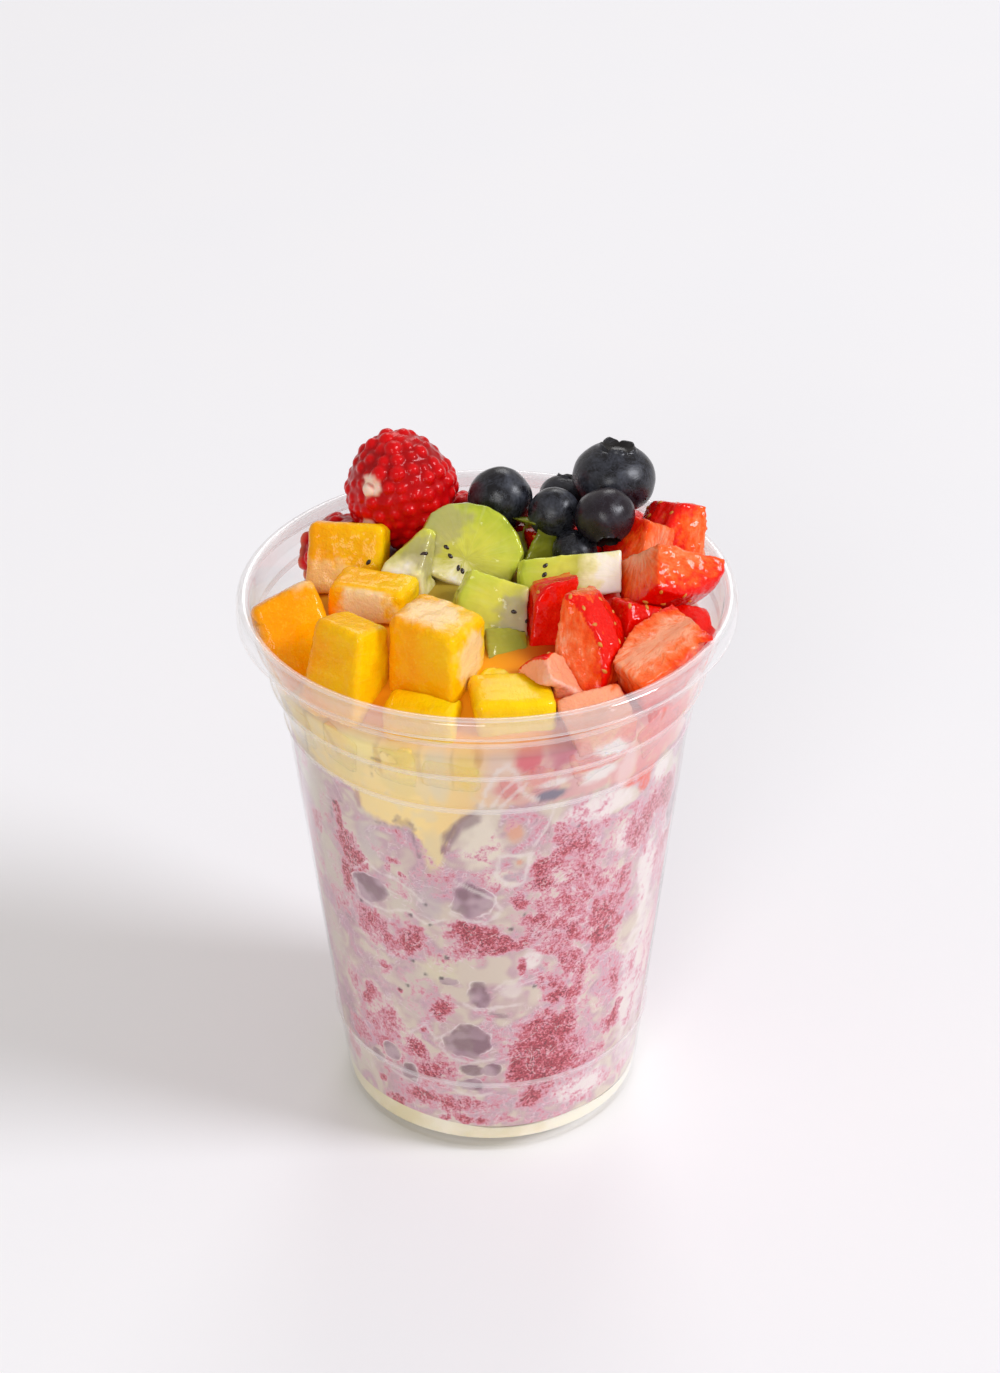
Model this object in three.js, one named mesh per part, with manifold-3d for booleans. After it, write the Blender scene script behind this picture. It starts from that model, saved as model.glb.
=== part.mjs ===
// A fruit parfait in a clear plastic cup: a marbled berry and cream filling, a pool of cream on top,
// and a heap of cut mango, kiwi and strawberry with whole raspberries and blueberries pressed into it.
// Millimetres, Z up, X to the right, Y to the back. The origin is the middle of the cup's foot.
import * as THREE from "three";
import { mergeVertices } from "three/addons/utils/BufferGeometryUtils.js";
import Module from "manifold-3d";

// Driving dimensions of the cup
const CUP_HEIGHT = 117;
const RIM_RADIUS = 49;
const RIM_WIDTH = 2.8;
const RIM_HEIGHT = 4.3;
const FOOT_RADIUS = 30.4;
const FOOT_CORNER = 2.4;
const FOOT_RING = 1;
const FOOT_RECESS = 1.4;
const RECESS_SLOPE = 1.6;
const SHOULDER_RADIUS = 40.3;
const SHOULDER_Z = 91.5;
const RING_Z = 100.5;
const RING_STEP = 0.5;
const RING_HALF = 0.8;
const FOOT_RIDGE_Z = 19;
const WALL = 0.6;
const CUP_SIDES = 40;

// Driving dimensions of what is in the cup
const GAP = 0.3;
const BASE_CREAM_TOP = 7;
const SWIRL_TOP = 90;
const CREAM_EDGE = 103.5;
const CREAM_CROWN = 12;
const CREAM_REACH = 43;
const FILL_SIDES = 30;
const KIWI_RADIUS = 21;
const KIWI_STRETCH = 1.25;
const BERRY_RADIUS = 13;
const BERRY_LENGTH = 30;
const BERRY_CORE = 1;
const KNIFE_EDGE = 1.4;

const wasm = await Module();
wasm.setup();

// A closed geometry as a solid, with its shared corners merged and its flat triangles left out
function solidOf(geometry) {
  const bare = geometry.clone();
  bare.deleteAttribute("normal");
  bare.deleteAttribute("uv");
  const merged = mergeVertices(bare, 1e-4);
  const corners = merged.index.array;
  const kept = [];
  for (let i = 0; i < corners.length; i += 3) {
    const [a, b, c] = corners.slice(i, i + 3);
    if (a !== b && b !== c && c !== a) kept.push(a, b, c);
  }
  return new wasm.Manifold(
    new wasm.Mesh({
      numProp: 3,
      vertProperties: new Float32Array(merged.attributes.position.array),
      triVerts: new Uint32Array(kept),
    }),
  );
}

function geometryOf(solid) {
  const mesh = solid.getMesh();
  const geometry = new THREE.BufferGeometry();
  geometry.setAttribute("position", new THREE.BufferAttribute(mesh.vertProperties, 3));
  geometry.setIndex(new THREE.BufferAttribute(mesh.triVerts, 1));
  geometry.computeVertexNormals();
  return geometry;
}

// The largest piece of a solid that a cut may have parted
function largestOf(solid) {
  return solid.decompose().sort((a, b) => b.volume() - a.volume())[0];
}

function nearby(a, b) {
  const [one, other] = [a.boundingBox(), b.boundingBox()];
  return [0, 1, 2].every((k) => one.min[k] < other.max[k] && other.min[k] < one.max[k]);
}

// What is left of a solid, in one piece, outside the room that others take up
function clearOf(solid, rooms) {
  for (const room of rooms) {
    if (nearby(solid, room)) solid = largestOf(solid.subtract(room));
  }
  return solid;
}

// Numbers from 0 to 1 that are the same at each run
function seeded(seed) {
  let state = seed * 2654435761;
  return () => {
    state = (state + 0x6d2b79f5) | 0;
    let t = Math.imul(state ^ (state >>> 15), 1 | state);
    t = (t + Math.imul(t ^ (t >>> 7), 61 | t)) ^ t;
    return ((t ^ (t >>> 14)) >>> 0) / 4294967296;
  };
}

const radians = THREE.MathUtils.degToRad;

// A solid of revolution about Z, from points of radius and height that start and end on the axis
function turned(points, sides) {
  const profile = points.map(([r, z]) => new THREE.Vector2(r, z));
  const lathe = new THREE.LatheGeometry(profile, sides);
  lathe.rotateX(Math.PI / 2);
  const solid = solidOf(lathe);
  return solid.volume() > 0 ? solid : turned([...points].reverse(), sides);
}

// Cup

const LIP_Z = CUP_HEIGHT - RIM_HEIGHT;
const LIP_RADIUS = RIM_RADIUS - RIM_WIDTH;

// The outer radius of the body below the rim
function bodyRadius(z) {
  if (z < SHOULDER_Z) {
    const along = (z - FOOT_CORNER) / (SHOULDER_Z - FOOT_CORNER);
    return FOOT_RADIUS + (SHOULDER_RADIUS - FOOT_RADIUS) * along;
  }
  const along = (z - SHOULDER_Z) / (LIP_Z - SHOULDER_Z);
  return SHOULDER_RADIUS + (LIP_RADIUS - SHOULDER_RADIUS) * along;
}

const innerRadius = (z) => bodyRadius(z) - WALL;

// Points of an arc of a circle, by its middle, radius and end angles in degrees
function arc(r, z, radius, from, to, steps) {
  return Array.from({ length: steps + 1 }, (_, i) => {
    const angle = radians(from + ((to - from) * i) / steps);
    return [r + radius * Math.cos(angle), z + radius * Math.sin(angle)];
  });
}

function cupSolid() {
  const foot = FOOT_RADIUS - FOOT_CORNER;
  const ring = foot - FOOT_RING;
  const underside = [[0, FOOT_RECESS], [ring - RECESS_SLOPE, FOOT_RECESS], [ring, 0]];
  const corner = arc(foot, FOOT_CORNER, FOOT_CORNER, -90, 0, 2);
  // A ridge that runs round the wall, one step proud of it
  const ridge = (z) => [
    [bodyRadius(z - RING_HALF), z - RING_HALF],
    [bodyRadius(z) + RING_STEP, z],
    [bodyRadius(z + RING_HALF), z + RING_HALF],
  ];
  const side = [FOOT_RIDGE_Z, SHOULDER_Z, RING_Z].flatMap(ridge);
  const soft = RIM_WIDTH / 2;
  const rim = [
    [LIP_RADIUS + 0.4, LIP_Z],
    [RIM_RADIUS - 0.5, LIP_Z],
    [RIM_RADIUS, LIP_Z + 1],
    ...arc(RIM_RADIUS - soft, CUP_HEIGHT - soft, soft, 0, 180, 4),
  ];
  const inside = [
    [innerRadius(LIP_Z), LIP_Z],
    [innerRadius(SHOULDER_Z), SHOULDER_Z],
    [innerRadius(FOOT_CORNER + 1), FOOT_CORNER + 1],
    [foot - 0.6, FOOT_RECESS + WALL],
    [0, FOOT_RECESS + WALL],
  ];
  return turned([...underside, ...corner, ...side, ...rim, ...inside], CUP_SIDES);
}

// The room inside the cup, less a gap to its wall, and open to all sides above the rim
function roomSolid() {
  const wide = RIM_RADIUS + 20;
  const inside = (z) => innerRadius(z) - GAP;
  const floor = FOOT_RECESS + WALL + GAP;
  return turned(
    [
      [0, floor],
      [FOOT_RADIUS - FOOT_CORNER - 1, floor],
      [inside(FOOT_CORNER + 1), FOOT_CORNER + 1.3],
      [inside(SHOULDER_Z), SHOULDER_Z],
      [inside(LIP_Z), LIP_Z],
      [inside(LIP_Z), CUP_HEIGHT + GAP],
      [wide, CUP_HEIGHT + GAP],
      [wide, CUP_HEIGHT + 60],
      [0, CUP_HEIGHT + 60],
    ],
    CUP_SIDES,
  );
}

// Filling

// A layer that reaches the wall all round, between two uneven surfaces that are heights at a radius and angle
function layerSolid(bottom, top, sides = FILL_SIDES) {
  const radii = [15, 27, 36, 43.5];
  const positions = [];
  const triangles = [];
  positions.push(0, 0, bottom(0, 0), 0, 0, top(0, 0));
  const ring = (surface, r) => {
    const first = positions.length / 3;
    for (let i = 0; i < sides; i++) {
      const angle = (i * 2 * Math.PI) / sides;
      positions.push(r * Math.cos(angle), r * Math.sin(angle), surface(r, angle));
    }
    return first;
  };
  const lower = radii.map((r) => ring(bottom, r));
  const upper = radii.map((r) => ring(top, r));
  // Both surfaces part their quads along the same diagonal, so that two layers meet evenly
  const strip = (inner, outer, facingDown) => {
    for (let i = 0; i < sides; i++) {
      const j = (i + 1) % sides;
      const quad = [inner + i, outer + i, outer + j, inner + i, outer + j, inner + j];
      triangles.push(...(facingDown ? quad.reverse() : quad));
    }
  };
  for (let i = 0; i < sides; i++) {
    const j = (i + 1) % sides;
    triangles.push(0, lower[0] + j, lower[0] + i, 1, upper[0] + i, upper[0] + j);
  }
  for (let k = 0; k + 1 < radii.length; k++) {
    strip(lower[k], lower[k + 1], true);
    strip(upper[k], upper[k + 1], false);
  }
  strip(upper.at(-1), lower.at(-1), false);
  const geometry = new THREE.BufferGeometry();
  geometry.setAttribute("position", new THREE.BufferAttribute(new Float32Array(positions), 3));
  geometry.setIndex(triangles);
  return solidOf(geometry).intersect(roomSolid());
}

// Where the cream gives way to the berry swirl: it hangs lower at the front left, in two tongues
function swirlEdge(r, angle) {
  const tongue = (at, width) => Math.exp(-(((angle * 180) / Math.PI - at) ** 2) / (2 * width ** 2));
  const drop = 8 * tongue(254, 7) + 6 * tongue(240, 12) + 9 * tongue(278, 6);
  const near = Math.min(1, r / 36);
  return SWIRL_TOP - drop * near ** 4 + 1.2 * Math.sin(3 * angle) * near;
}

// Where the berry swirl gives way to the cream at the bottom
function baseEdge(r, angle) {
  return BASE_CREAM_TOP + (r / FOOT_RADIUS) * (0.9 * Math.sin(2 * angle) + 0.6 * Math.sin(5 * angle));
}

// The cream's own surface, higher in the middle under the heap
function creamSurface(r, angle) {
  const share = Math.min(1, r / CREAM_REACH);
  const swell = 0.7 * Math.sin(3 * angle + 1) + 0.5 * Math.sin(5 * angle);
  return CREAM_EDGE + CREAM_CROWN * Math.sqrt(1 - share * share) + swell * share;
}

// Fruit

// Where a piece lies: its local Z goes to the direction called facing, and its local X towards the other one
function seat({ at, facing, towards }) {
  const z = new THREE.Vector3(...facing).normalize();
  const x = new THREE.Vector3(...towards);
  x.addScaledVector(z, -x.dot(z)).normalize();
  const matrix = new THREE.Matrix4().makeBasis(x, new THREE.Vector3().crossVectors(z, x), z);
  return matrix.setPosition(...at);
}

// A knife-cut block with flat faces: its top is narrower by the taper, its cuts are a little out of square
// by the skew, and its edges are softened
function block([width, depth, height], { taper = 1, skew = 0.2, soft = 0, seed }) {
  const segments = soft > 0 ? 3 : 1;
  const box = new THREE.BoxGeometry(2, 2, 2, segments, segments, segments);
  const position = box.attributes.position;
  const half = [width / 2, depth / 2, height / 2];
  const random = seeded(seed);
  const [leanX, leanY, twist, wedge] = [0, 1, 2, 3].map(() => (random() - 0.5) * skew);
  for (let i = 0; i < position.count; i++) {
    const grid = [position.getX(i), position.getY(i), position.getZ(i)];
    // The outer row of faces is as wide as the rounding
    const flat = grid.map((g, k) => Math.sign(g) * (half[k] - (Math.abs(g) < 0.9 ? soft : 0)));
    const inner = flat.map((v, k) => THREE.MathUtils.clamp(v, soft - half[k], half[k] - soft));
    const out = new THREE.Vector3(...flat.map((v, k) => v - inner[k])).setLength(soft).toArray();
    const [x, y, z] = inner.map((v, k) => v + out[k]);
    const narrow = 1 + (taper - 1) * (z / height + 0.5);
    const wide = 1 + (wedge * x) / half[0];
    position.setXYZ(i, x * narrow + leanX * z, (y + twist * x) * narrow + leanY * z, z * wide);
  }
  return box;
}

// The room that a block takes up, one gap larger on each side
function blockRoom(size, shape) {
  return block(size.map((side) => side + 2 * GAP), { ...shape, soft: 0 });
}

// A soft-edged block turned about Z after it is tilted back about X and rolled about Y, in degrees
function laidBlock({ at, size, turn = 0, tilt = 0, roll = 0, ...shape }) {
  const euler = new THREE.Euler(radians(tilt), radians(roll), radians(turn), "ZXY");
  const matrix = new THREE.Matrix4().makeRotationFromEuler(euler);
  matrix.setPosition(...at);
  return {
    solid: solidOf(block(size, { ...shape, soft: KNIFE_EDGE }).applyMatrix4(matrix)),
    room: solidOf(blockRoom(size, shape).applyMatrix4(matrix)),
  };
}

// A chunk of peeled kiwi, cut across the fruit and from it by radial cuts. Its local Z is the fruit's own
// axis, its local X runs from the pale core out to the peeled side, and its place is its own middle
function kiwiChunk({ radius = KIWI_RADIUS, from, width, thick, seed, ...place }) {
  const matrix = seat(place);
  const middle = (from + radius) / 2;
  const fruit = new THREE.SphereGeometry(radius, 18, 10);
  fruit.rotateX(Math.PI / 2).scale(1, 1, KIWI_STRETCH).translate(-middle, 0, 0);
  const size = [radius - from, width, thick];
  const shape = { taper: 0.94, seed };
  // The cuts run past the peeled side, so that the fruit's own curve is left there
  const past = 1;
  const cut = block([size[0] + 2 * past, width, thick], shape).translate(past, 0, 0);
  return {
    solid: solidOf(fruit.applyMatrix4(matrix)).intersect(solidOf(cut.applyMatrix4(matrix))),
    room: solidOf(blockRoom(size, shape).applyMatrix4(matrix)),
  };
}

// The radius of a strawberry at a share of its length, from its leafy end at 0 to its tip at 1
function strawberryProfile(share) {
  return BERRY_RADIUS * Math.sin(Math.PI * share ** 0.62) ** 0.75;
}

// What a square cut takes from a strawberry. Its local Z is the berry's axis with the tip at the top, its
// local X runs from the core out to the skin, and its place is its own middle
function strawberryChunk({ size, seed, ...place }) {
  const matrix = seat(place);
  const steps = 8;
  const outline = Array.from({ length: steps + 1 }, (_, i) => {
    const ends = i === 0 || i === steps;
    return new THREE.Vector2(ends ? 0 : strawberryProfile(i / steps), (i / steps - 0.5) * BERRY_LENGTH);
  });
  const berry = new THREE.LatheGeometry(outline, 12);
  berry.rotateX(Math.PI / 2).translate(-BERRY_CORE - size[0] / 2, 0, 0);
  const shape = { taper: 0.95, skew: 0.3, seed };
  return {
    solid: solidOf(berry.applyMatrix4(matrix)).intersect(solidOf(block(size, shape).applyMatrix4(matrix))),
    room: solidOf(blockRoom(size, shape).applyMatrix4(matrix)),
  };
}

// The room that a round berry takes up: a ball that its facets lie wholly inside
function berryRoom(radius, length, matrix) {
  const ball = new THREE.IcosahedronGeometry(1.07, 1);
  ball.scale(radius + GAP, radius + GAP, length / 2 + GAP);
  return solidOf(ball.applyMatrix4(matrix));
}

// Blueberry: a flattened ball, local Z pointing at its crown, five blunt teeth round a shallow cup
function blueberry({ radius, flat = 0.86, towards = [1, 0, 0.1], ...place }) {
  const matrix = seat({ towards, ...place });
  const cup = [[0.4, 1.04], [0.26, 0.82], [0, 0.8]];
  const outline = [[0, -0.98], ...arc(0, 0, 1, -66, 60, 5), ...cup];
  const points = outline.map(([r, z]) => new THREE.Vector2(r * radius, z * radius * flat));
  const sides = 15;
  const body = new THREE.LatheGeometry(points, sides);
  const rimPoint = outline.length - cup.length;
  for (let i = 0; i <= sides; i++) {
    // Every third side of the crown is a tooth, and the rest are notches
    if (i % 3 !== 0) body.attributes.position.setY(i * outline.length + rimPoint, 0.9 * radius * flat);
  }
  body.rotateX(Math.PI / 2);
  return { solid: solidOf(body.applyMatrix4(matrix)), room: berryRoom(radius, 2 * radius * flat, matrix) };
}

// Raspberry: local Z points at the tip. Rows of drupelets stand in one another's gaps
function raspberry({ radius, length, around = 10, rows = 7, towards = [1, 0, 0.1], ...place }) {
  const matrix = seat({ towards, ...place });
  const body = new THREE.SphereGeometry(1, 2 * around, 2 * rows);
  body.rotateX(Math.PI / 2);
  const groove = 0.09;
  const position = body.attributes.position;
  for (let n = 0; n < position.count; n++) {
    const column = n % (2 * around + 1);
    const line = Math.floor(n / (2 * around + 1));
    const onRow = line % 2 === 1;
    const onTop = onRow && (column + (line >> 1)) % 2 === 0;
    const out = onTop ? 1 : 1 - groove;
    const z = position.getZ(n);
    // Blunt at the hull end, and drawn in towards the tip
    const girth = radius * out * (z > 0 ? 1 - 0.14 * z ** 2 : 1);
    position.setXYZ(n, position.getX(n) * girth, position.getY(n) * girth, (z * length * out) / 2);
  }
  return { solid: solidOf(body.applyMatrix4(matrix)), room: berryRoom(radius, length, matrix) };
}

const MANGO = {
  front: { at: [-9.5, -24.3, 117], size: [14.6, 13.6, 15.5], turn: -28, tilt: -5, seed: 5 },
  front_left: { at: [-26.2, -24.5, 114], size: [14.5, 12, 18.5], turn: -38, tilt: -14, taper: 0.78, seed: 3 },
  mid_left: { at: [-22, -4, 117.5], size: [15.5, 10, 7.5], turn: -20, tilt: -4, seed: 4 },
  left: { at: [-36.8, -10, 111.8], size: [13.5, 11, 18.5], turn: 12, tilt: -32, roll: -20, seed: 2 },
  back_left: { at: [-27.5, 13, 116], size: [15.5, 10, 14.5], turn: -8, tilt: -30, seed: 1 },
  front_low: { at: [4.8, -33, 108.6], size: [15.5, 12, 12.5], turn: 8, seed: 6 },
  low_middle: { at: [-1.5, -24, 108], size: [13, 12, 11], turn: -35, seed: 7 },
  front_edge: { at: [-12, -35, 107.5], size: [14, 9, 11], turn: -14, seed: 12 },
  wall_1: { at: [-34.5, -21, 99.5], size: [9, 9, 9.5], turn: -50, seed: 8 },
  wall_2: { at: [-26.8, -30, 100.5], size: [8.5, 9, 10.5], turn: -38, roll: 12, seed: 9 },
  wall_3: { at: [-16.5, -36, 101], size: [9, 8, 9.5], turn: -22, seed: 10 },
  wall_4: { at: [-6.4, -38, 101], size: [11.5, 8, 8.5], turn: -4, seed: 11 },
};

const KIWI = {
  core: {
    at: [16.2, 0.5, 118.3], facing: [0.1, -0.75, 0.65],
    towards: [-1, 0, 0], from: 0, width: 9, thick: 8, seed: 4,
  },
  middle: {
    at: [1, -8, 116.5], facing: [0.1, -0.8, 0.6],
    towards: [-0.93, 0, 0.36], from: 5, width: 12, thick: 11, seed: 3,
  },
  back: {
    at: [-3.2, 11.5, 119], facing: [0.05, -0.75, 0.6],
    towards: [0.35, 0.3, 0.8], radius: 12, from: -6, width: 21, thick: 9, seed: 1,
  },
  left: {
    at: [-15, 5, 117.5], facing: [-0.3, -0.5, 0.8],
    towards: [0.3, 0.8, 0.6], from: 3, width: 9, thick: 9, seed: 2,
  },
  low: {
    at: [5.2, -16.5, 111.5], facing: [0.2, -0.5, 0.8],
    towards: [1, 0, 0.1], from: 8, width: 9, thick: 7, seed: 6,
  },
  shaded: {
    at: [8.5, 14.5, 116.5], facing: [0.1, -0.9, 0.3],
    towards: [0.2, 0, 1], from: 7, width: 9, thick: 7, seed: 7,
  },
};

const BLUEBERRY = {
  left: { at: [2.7, 24.4, 123], facing: [0.3, 0.7, 0.6], radius: 6.5, flat: 0.95 },
  top: { at: [25.6, 27.5, 126], facing: [0.12, 0.15, 1], radius: 8.4, flat: 0.84 },
  middle: { at: [13.4, 17, 123.8], facing: [-0.3, 0.8, 0.5], radius: 5.2, flat: 0.95 },
  right: { at: [23.3, 12.2, 125.6], facing: [0.1, -0.75, -0.65], radius: 5.9, flat: 0.94 },
  small: { at: [17.4, 10.8, 118.4], facing: [0.7, 0.3, 0.6], radius: 4.7, flat: 0.9 },
  hidden: { at: [16, 33.5, 118.2], facing: [0.2, 0.4, 0.9], radius: 5.4 },
};

const STRAWBERRY = {
  front: {
    at: [20.6, -20, 116.5], facing: [0.05, 0.35, 0.95],
    towards: [0.85, -0.5, 0], size: [11, 12, 18], seed: 4,
  },
  front_left: {
    at: [12, -11.5, 117], facing: [0, 0.4, 0.9],
    towards: [-0.95, -0.2, 0.1], size: [8.5, 9, 14.5], seed: 5,
  },
  right: {
    at: [36, -1.5, 118], facing: [0.8, 0.3, -0.45],
    towards: [0.1, -0.7, -0.7], size: [11, 13, 16], seed: 3,
  },
  right_front: {
    at: [31.8, -21.5, 113.4], facing: [0.7, 0.6, 0.1],
    towards: [-0.5, -0.2, -0.8], size: [9, 13, 17], seed: 6,
  },
  right_back: {
    at: [34.6, 17, 120], facing: [0.1, 0.5, 0.9],
    towards: [-0.85, -0.5, 0.2], size: [14.5, 11, 11], seed: 1,
  },
  right_mid: {
    at: [31, 10.5, 119.5], facing: [0.3, 0.4, 0.8],
    towards: [-0.6, 0.2, -0.6], size: [8, 9, 11], seed: 2,
  },
  front_low: {
    at: [12.5, -27, 111.5], facing: [-0.6, -0.4, 0.5],
    towards: [-0.6, 0.3, 0.75], size: [8, 9, 14], seed: 8,
  },
  front_edge: {
    at: [20.5, -34, 108], facing: [0.9, 0.4, 0.2],
    towards: [0.2, -0.6, 0.7], size: [10, 11, 13], seed: 18,
  },
  low_right: {
    at: [27.7, -11, 112], facing: [0.2, 0.3, 0.9],
    towards: [0.5, -0.8, 0.3], size: [8, 9, 14], seed: 9,
  },
  low_middle: {
    at: [26.8, 1, 114], facing: [0.9, 0.2, 0.3],
    towards: [-0.1, -0.5, 0.8], size: [11, 11, 14], seed: 7,
  },
  edge: {
    at: [37, -10.5, 112.5], facing: [1, 0.1, 0.1],
    towards: [0.1, -0.3, 0.9], size: [9, 10, 12], seed: 10,
  },
  wall_1: {
    at: [7, -37, 100.5], facing: [1, 0.1, 0.1],
    towards: [0, -1, 0.1], size: [9, 11, 10], seed: 11,
  },
  wall_2: {
    at: [19, -33, 102], facing: [0.8, 0.6, 0.4],
    towards: [0.5, -0.8, 0.1], size: [9, 10, 13], seed: 12,
  },
  wall_3: {
    at: [30.5, -24.5, 102], facing: [0.4, 0.8, 0.5],
    towards: [0.8, -0.5, 0.1], size: [9, 10, 13], seed: 13,
  },
  wall_4: {
    at: [38, -11.5, 101], facing: [0.3, 0.6, 0.8],
    towards: [0.9, -0.2, 0.1], size: [8, 9, 12], seed: 15,
  },
  back: { at: [6, 37, 109], facing: [1, 0.2, 0.3], towards: [0, 0.5, 0.9], size: [11, 12, 17], seed: 14 },
  under_middle: {
    at: [14, 22, 114], facing: [0.9, 0.4, 0.1],
    towards: [-0.2, 0.2, 0.9], size: [10, 13, 14], seed: 16,
  },
  under_right: {
    at: [27.5, 24, 113.5], facing: [0.5, -0.8, 0.1],
    towards: [0.1, 0.2, 0.9], size: [12, 14, 16], seed: 17,
  },
};

const RASPBERRY = {
  top: { at: [-17.2, 27, 124.2], facing: [-0.12, 0.12, 1], radius: 11.5, length: 25 },
  left: { at: [-29, 26.5, 109], facing: [-0.6, -0.5, 0.5], radius: 9, length: 19, around: 9, rows: 6 },
  back: { at: [-4, 32, 111], facing: [0.3, 0.2, 0.9], radius: 8.6, length: 18, around: 9, rows: 6 },
};

// Builds each piece, and cuts from it what earlier pieces and the cup already take up
function heap() {
  const room = roomSolid();
  const kinds = [
    ["mango", MANGO, laidBlock, 0xf5a51e, 0.35],
    ["strawberry", STRAWBERRY, strawberryChunk, 0xd92018, 0.3],
    ["kiwi", KIWI, kiwiChunk, 0xb5c552, 0.35],
    ["raspberry", RASPBERRY, raspberry, 0xc4121c, 0.3],
    ["blueberry", BLUEBERRY, blueberry, 0x2c3142, 0.45],
  ];
  const built = [];
  for (const [kind, rows, make, colour, roughness] of kinds) {
    for (const [place, row] of Object.entries(rows)) {
      const piece = make(row);
      const solid = clearOf(piece.solid.intersect(room), built.map((other) => other.room));
      built.push({ name: `${kind}_${place}`, solid, room: piece.room, colour, roughness });
    }
  }
  return built;
}

function named(name, solid, colour, roughness, extra = {}) {
  const material = new THREE.MeshStandardMaterial({ color: colour, roughness, metalness: 0, ...extra });
  const mesh = new THREE.Mesh(geometryOf(solid), material);
  mesh.name = name;
  return mesh;
}

const parfait = new THREE.Group();
const pieces = heap();
const floor = () => 0;
const baseCream = layerSolid(floor, baseEdge);
const swirl = layerSolid(
  (r, angle) => baseEdge(r, angle) + GAP,
  (r, angle) => swirlEdge(r, angle) - GAP,
);
const topCream = layerSolid(swirlEdge, creamSurface);
const taken = pieces.map((piece) => piece.room);

parfait.add(named("cup", cupSolid(), 0xf4f4f6, 0.08, { transparent: true, opacity: 0.3 }));
parfait.add(named("cream_base", largestOf(baseCream), 0xe8dfc4, 0.4));
parfait.add(named("berry_swirl", clearOf(swirl, taken), 0xc98a98, 0.5));
parfait.add(named("cream_top", clearOf(topCream, taken), 0xefdfc0, 0.35));
for (const piece of pieces) parfait.add(named(piece.name, piece.solid, piece.colour, piece.roughness));

export default parfait;
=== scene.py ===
"""A fruit parfait in a clear cup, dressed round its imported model.

Places and sizes in the tables are in millimetres, with Z up and the origin in the middle of the cup's foot.
MM turns them into Blender's metres. Angles round the cup run from +X towards +Y, so the front is at 270.
"""
import math

import bmesh
import bpy
import numpy as np
from bpy.props import FloatProperty, FloatVectorProperty, PointerProperty
from mathutils import Matrix, Vector, noise
from mathutils.bvhtree import BVHTree


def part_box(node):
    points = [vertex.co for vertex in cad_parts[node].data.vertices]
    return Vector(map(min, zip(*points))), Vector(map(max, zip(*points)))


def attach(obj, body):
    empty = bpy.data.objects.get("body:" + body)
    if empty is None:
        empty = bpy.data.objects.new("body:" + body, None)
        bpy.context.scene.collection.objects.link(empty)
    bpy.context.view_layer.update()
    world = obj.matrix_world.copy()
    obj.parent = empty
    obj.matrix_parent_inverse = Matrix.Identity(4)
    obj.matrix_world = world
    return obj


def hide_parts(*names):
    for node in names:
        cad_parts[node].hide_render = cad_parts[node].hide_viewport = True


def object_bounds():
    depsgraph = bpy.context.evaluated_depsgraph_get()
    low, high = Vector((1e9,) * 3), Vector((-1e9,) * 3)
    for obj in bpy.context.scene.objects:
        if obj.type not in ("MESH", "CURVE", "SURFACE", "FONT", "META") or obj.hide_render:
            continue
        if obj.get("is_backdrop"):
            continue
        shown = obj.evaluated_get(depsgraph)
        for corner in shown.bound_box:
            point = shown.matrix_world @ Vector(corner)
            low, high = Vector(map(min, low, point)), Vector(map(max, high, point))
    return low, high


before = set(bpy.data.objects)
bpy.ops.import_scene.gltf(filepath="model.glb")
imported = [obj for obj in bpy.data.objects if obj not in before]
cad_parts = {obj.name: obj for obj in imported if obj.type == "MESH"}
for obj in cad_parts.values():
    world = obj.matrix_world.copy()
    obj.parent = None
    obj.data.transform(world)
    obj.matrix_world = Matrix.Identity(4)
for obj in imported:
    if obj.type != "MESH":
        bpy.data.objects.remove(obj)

bl_info = {
    "name": "Fruit Parfait",
    "version": (1, 0, 0),
    "blender": (4, 5, 0),
    "location": "3D View > Sidebar > Parfait",
    "description": "Builds a fruit parfait in a clear cup round its packed model",
    "category": "Add Mesh",
}

CAD_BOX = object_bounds()
MM = 0.001
WELD = 0.004 * MM
CUP_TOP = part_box("cup")[1].z
RIM_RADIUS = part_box("cup")[1].x
# Inside the cup, how far the floor's edge is in from the foot's rounding, and how far above the rounding the
# wall starts
FLOOR_INSET = 0.6 * MM
FLOOR_RISE = 1 * MM


def linear(code):
    """The linear colour that shaders take, from six hex digits of sRGB."""
    parts = [int(code[i:i + 2], 16) / 255 for i in (0, 2, 4)]
    return tuple(c / 12.92 if c <= 0.04045 else ((c + 0.055) / 1.055) ** 2.4 for c in parts)


def length(name, millimetres, description):
    """A property for a length, with its default given in millimetres."""
    return FloatProperty(name=name, description=description, default=millimetres * MM, min=0, unit="LENGTH")


def colour(name, code, description):
    """A property for a colour, with its default given as sRGB hex."""
    return FloatVectorProperty(
        name=name, description=description, default=linear(code), size=3, min=0, max=1, subtype="COLOR"
    )


class ParfaitCup(bpy.types.PropertyGroup):
    """Sizes of the cup."""

    rim_width: length("Rim width", 2.8, "How far the rolled rim stands out from the wall")
    rim_height: length("Rim height", 4.3, "Height of the rolled rim")
    foot_radius: length("Foot radius", 30.4, "Radius of the wall at the foot")
    foot_corner: length("Foot corner", 2.4, "Radius of the rounding at the foot")
    recess: length("Recess", 1.4, "How far the middle of the foot is lifted")
    shoulder_radius: length("Shoulder radius", 40.3, "Radius of the wall at the stacking shoulder")
    shoulder_height: length("Shoulder height", 91.5, "Height of the stacking shoulder")
    ring_height: length("Ring height", 100.5, "Height of the upper ring")
    ridge_height: length("Foot ridge height", 19, "Height of the ridge above the foot")
    ridge_step: length("Ridge step", 0.5, "How far the rings stand out from the wall")
    wall: length("Wall", 0.6, "Thickness of the wall")


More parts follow.
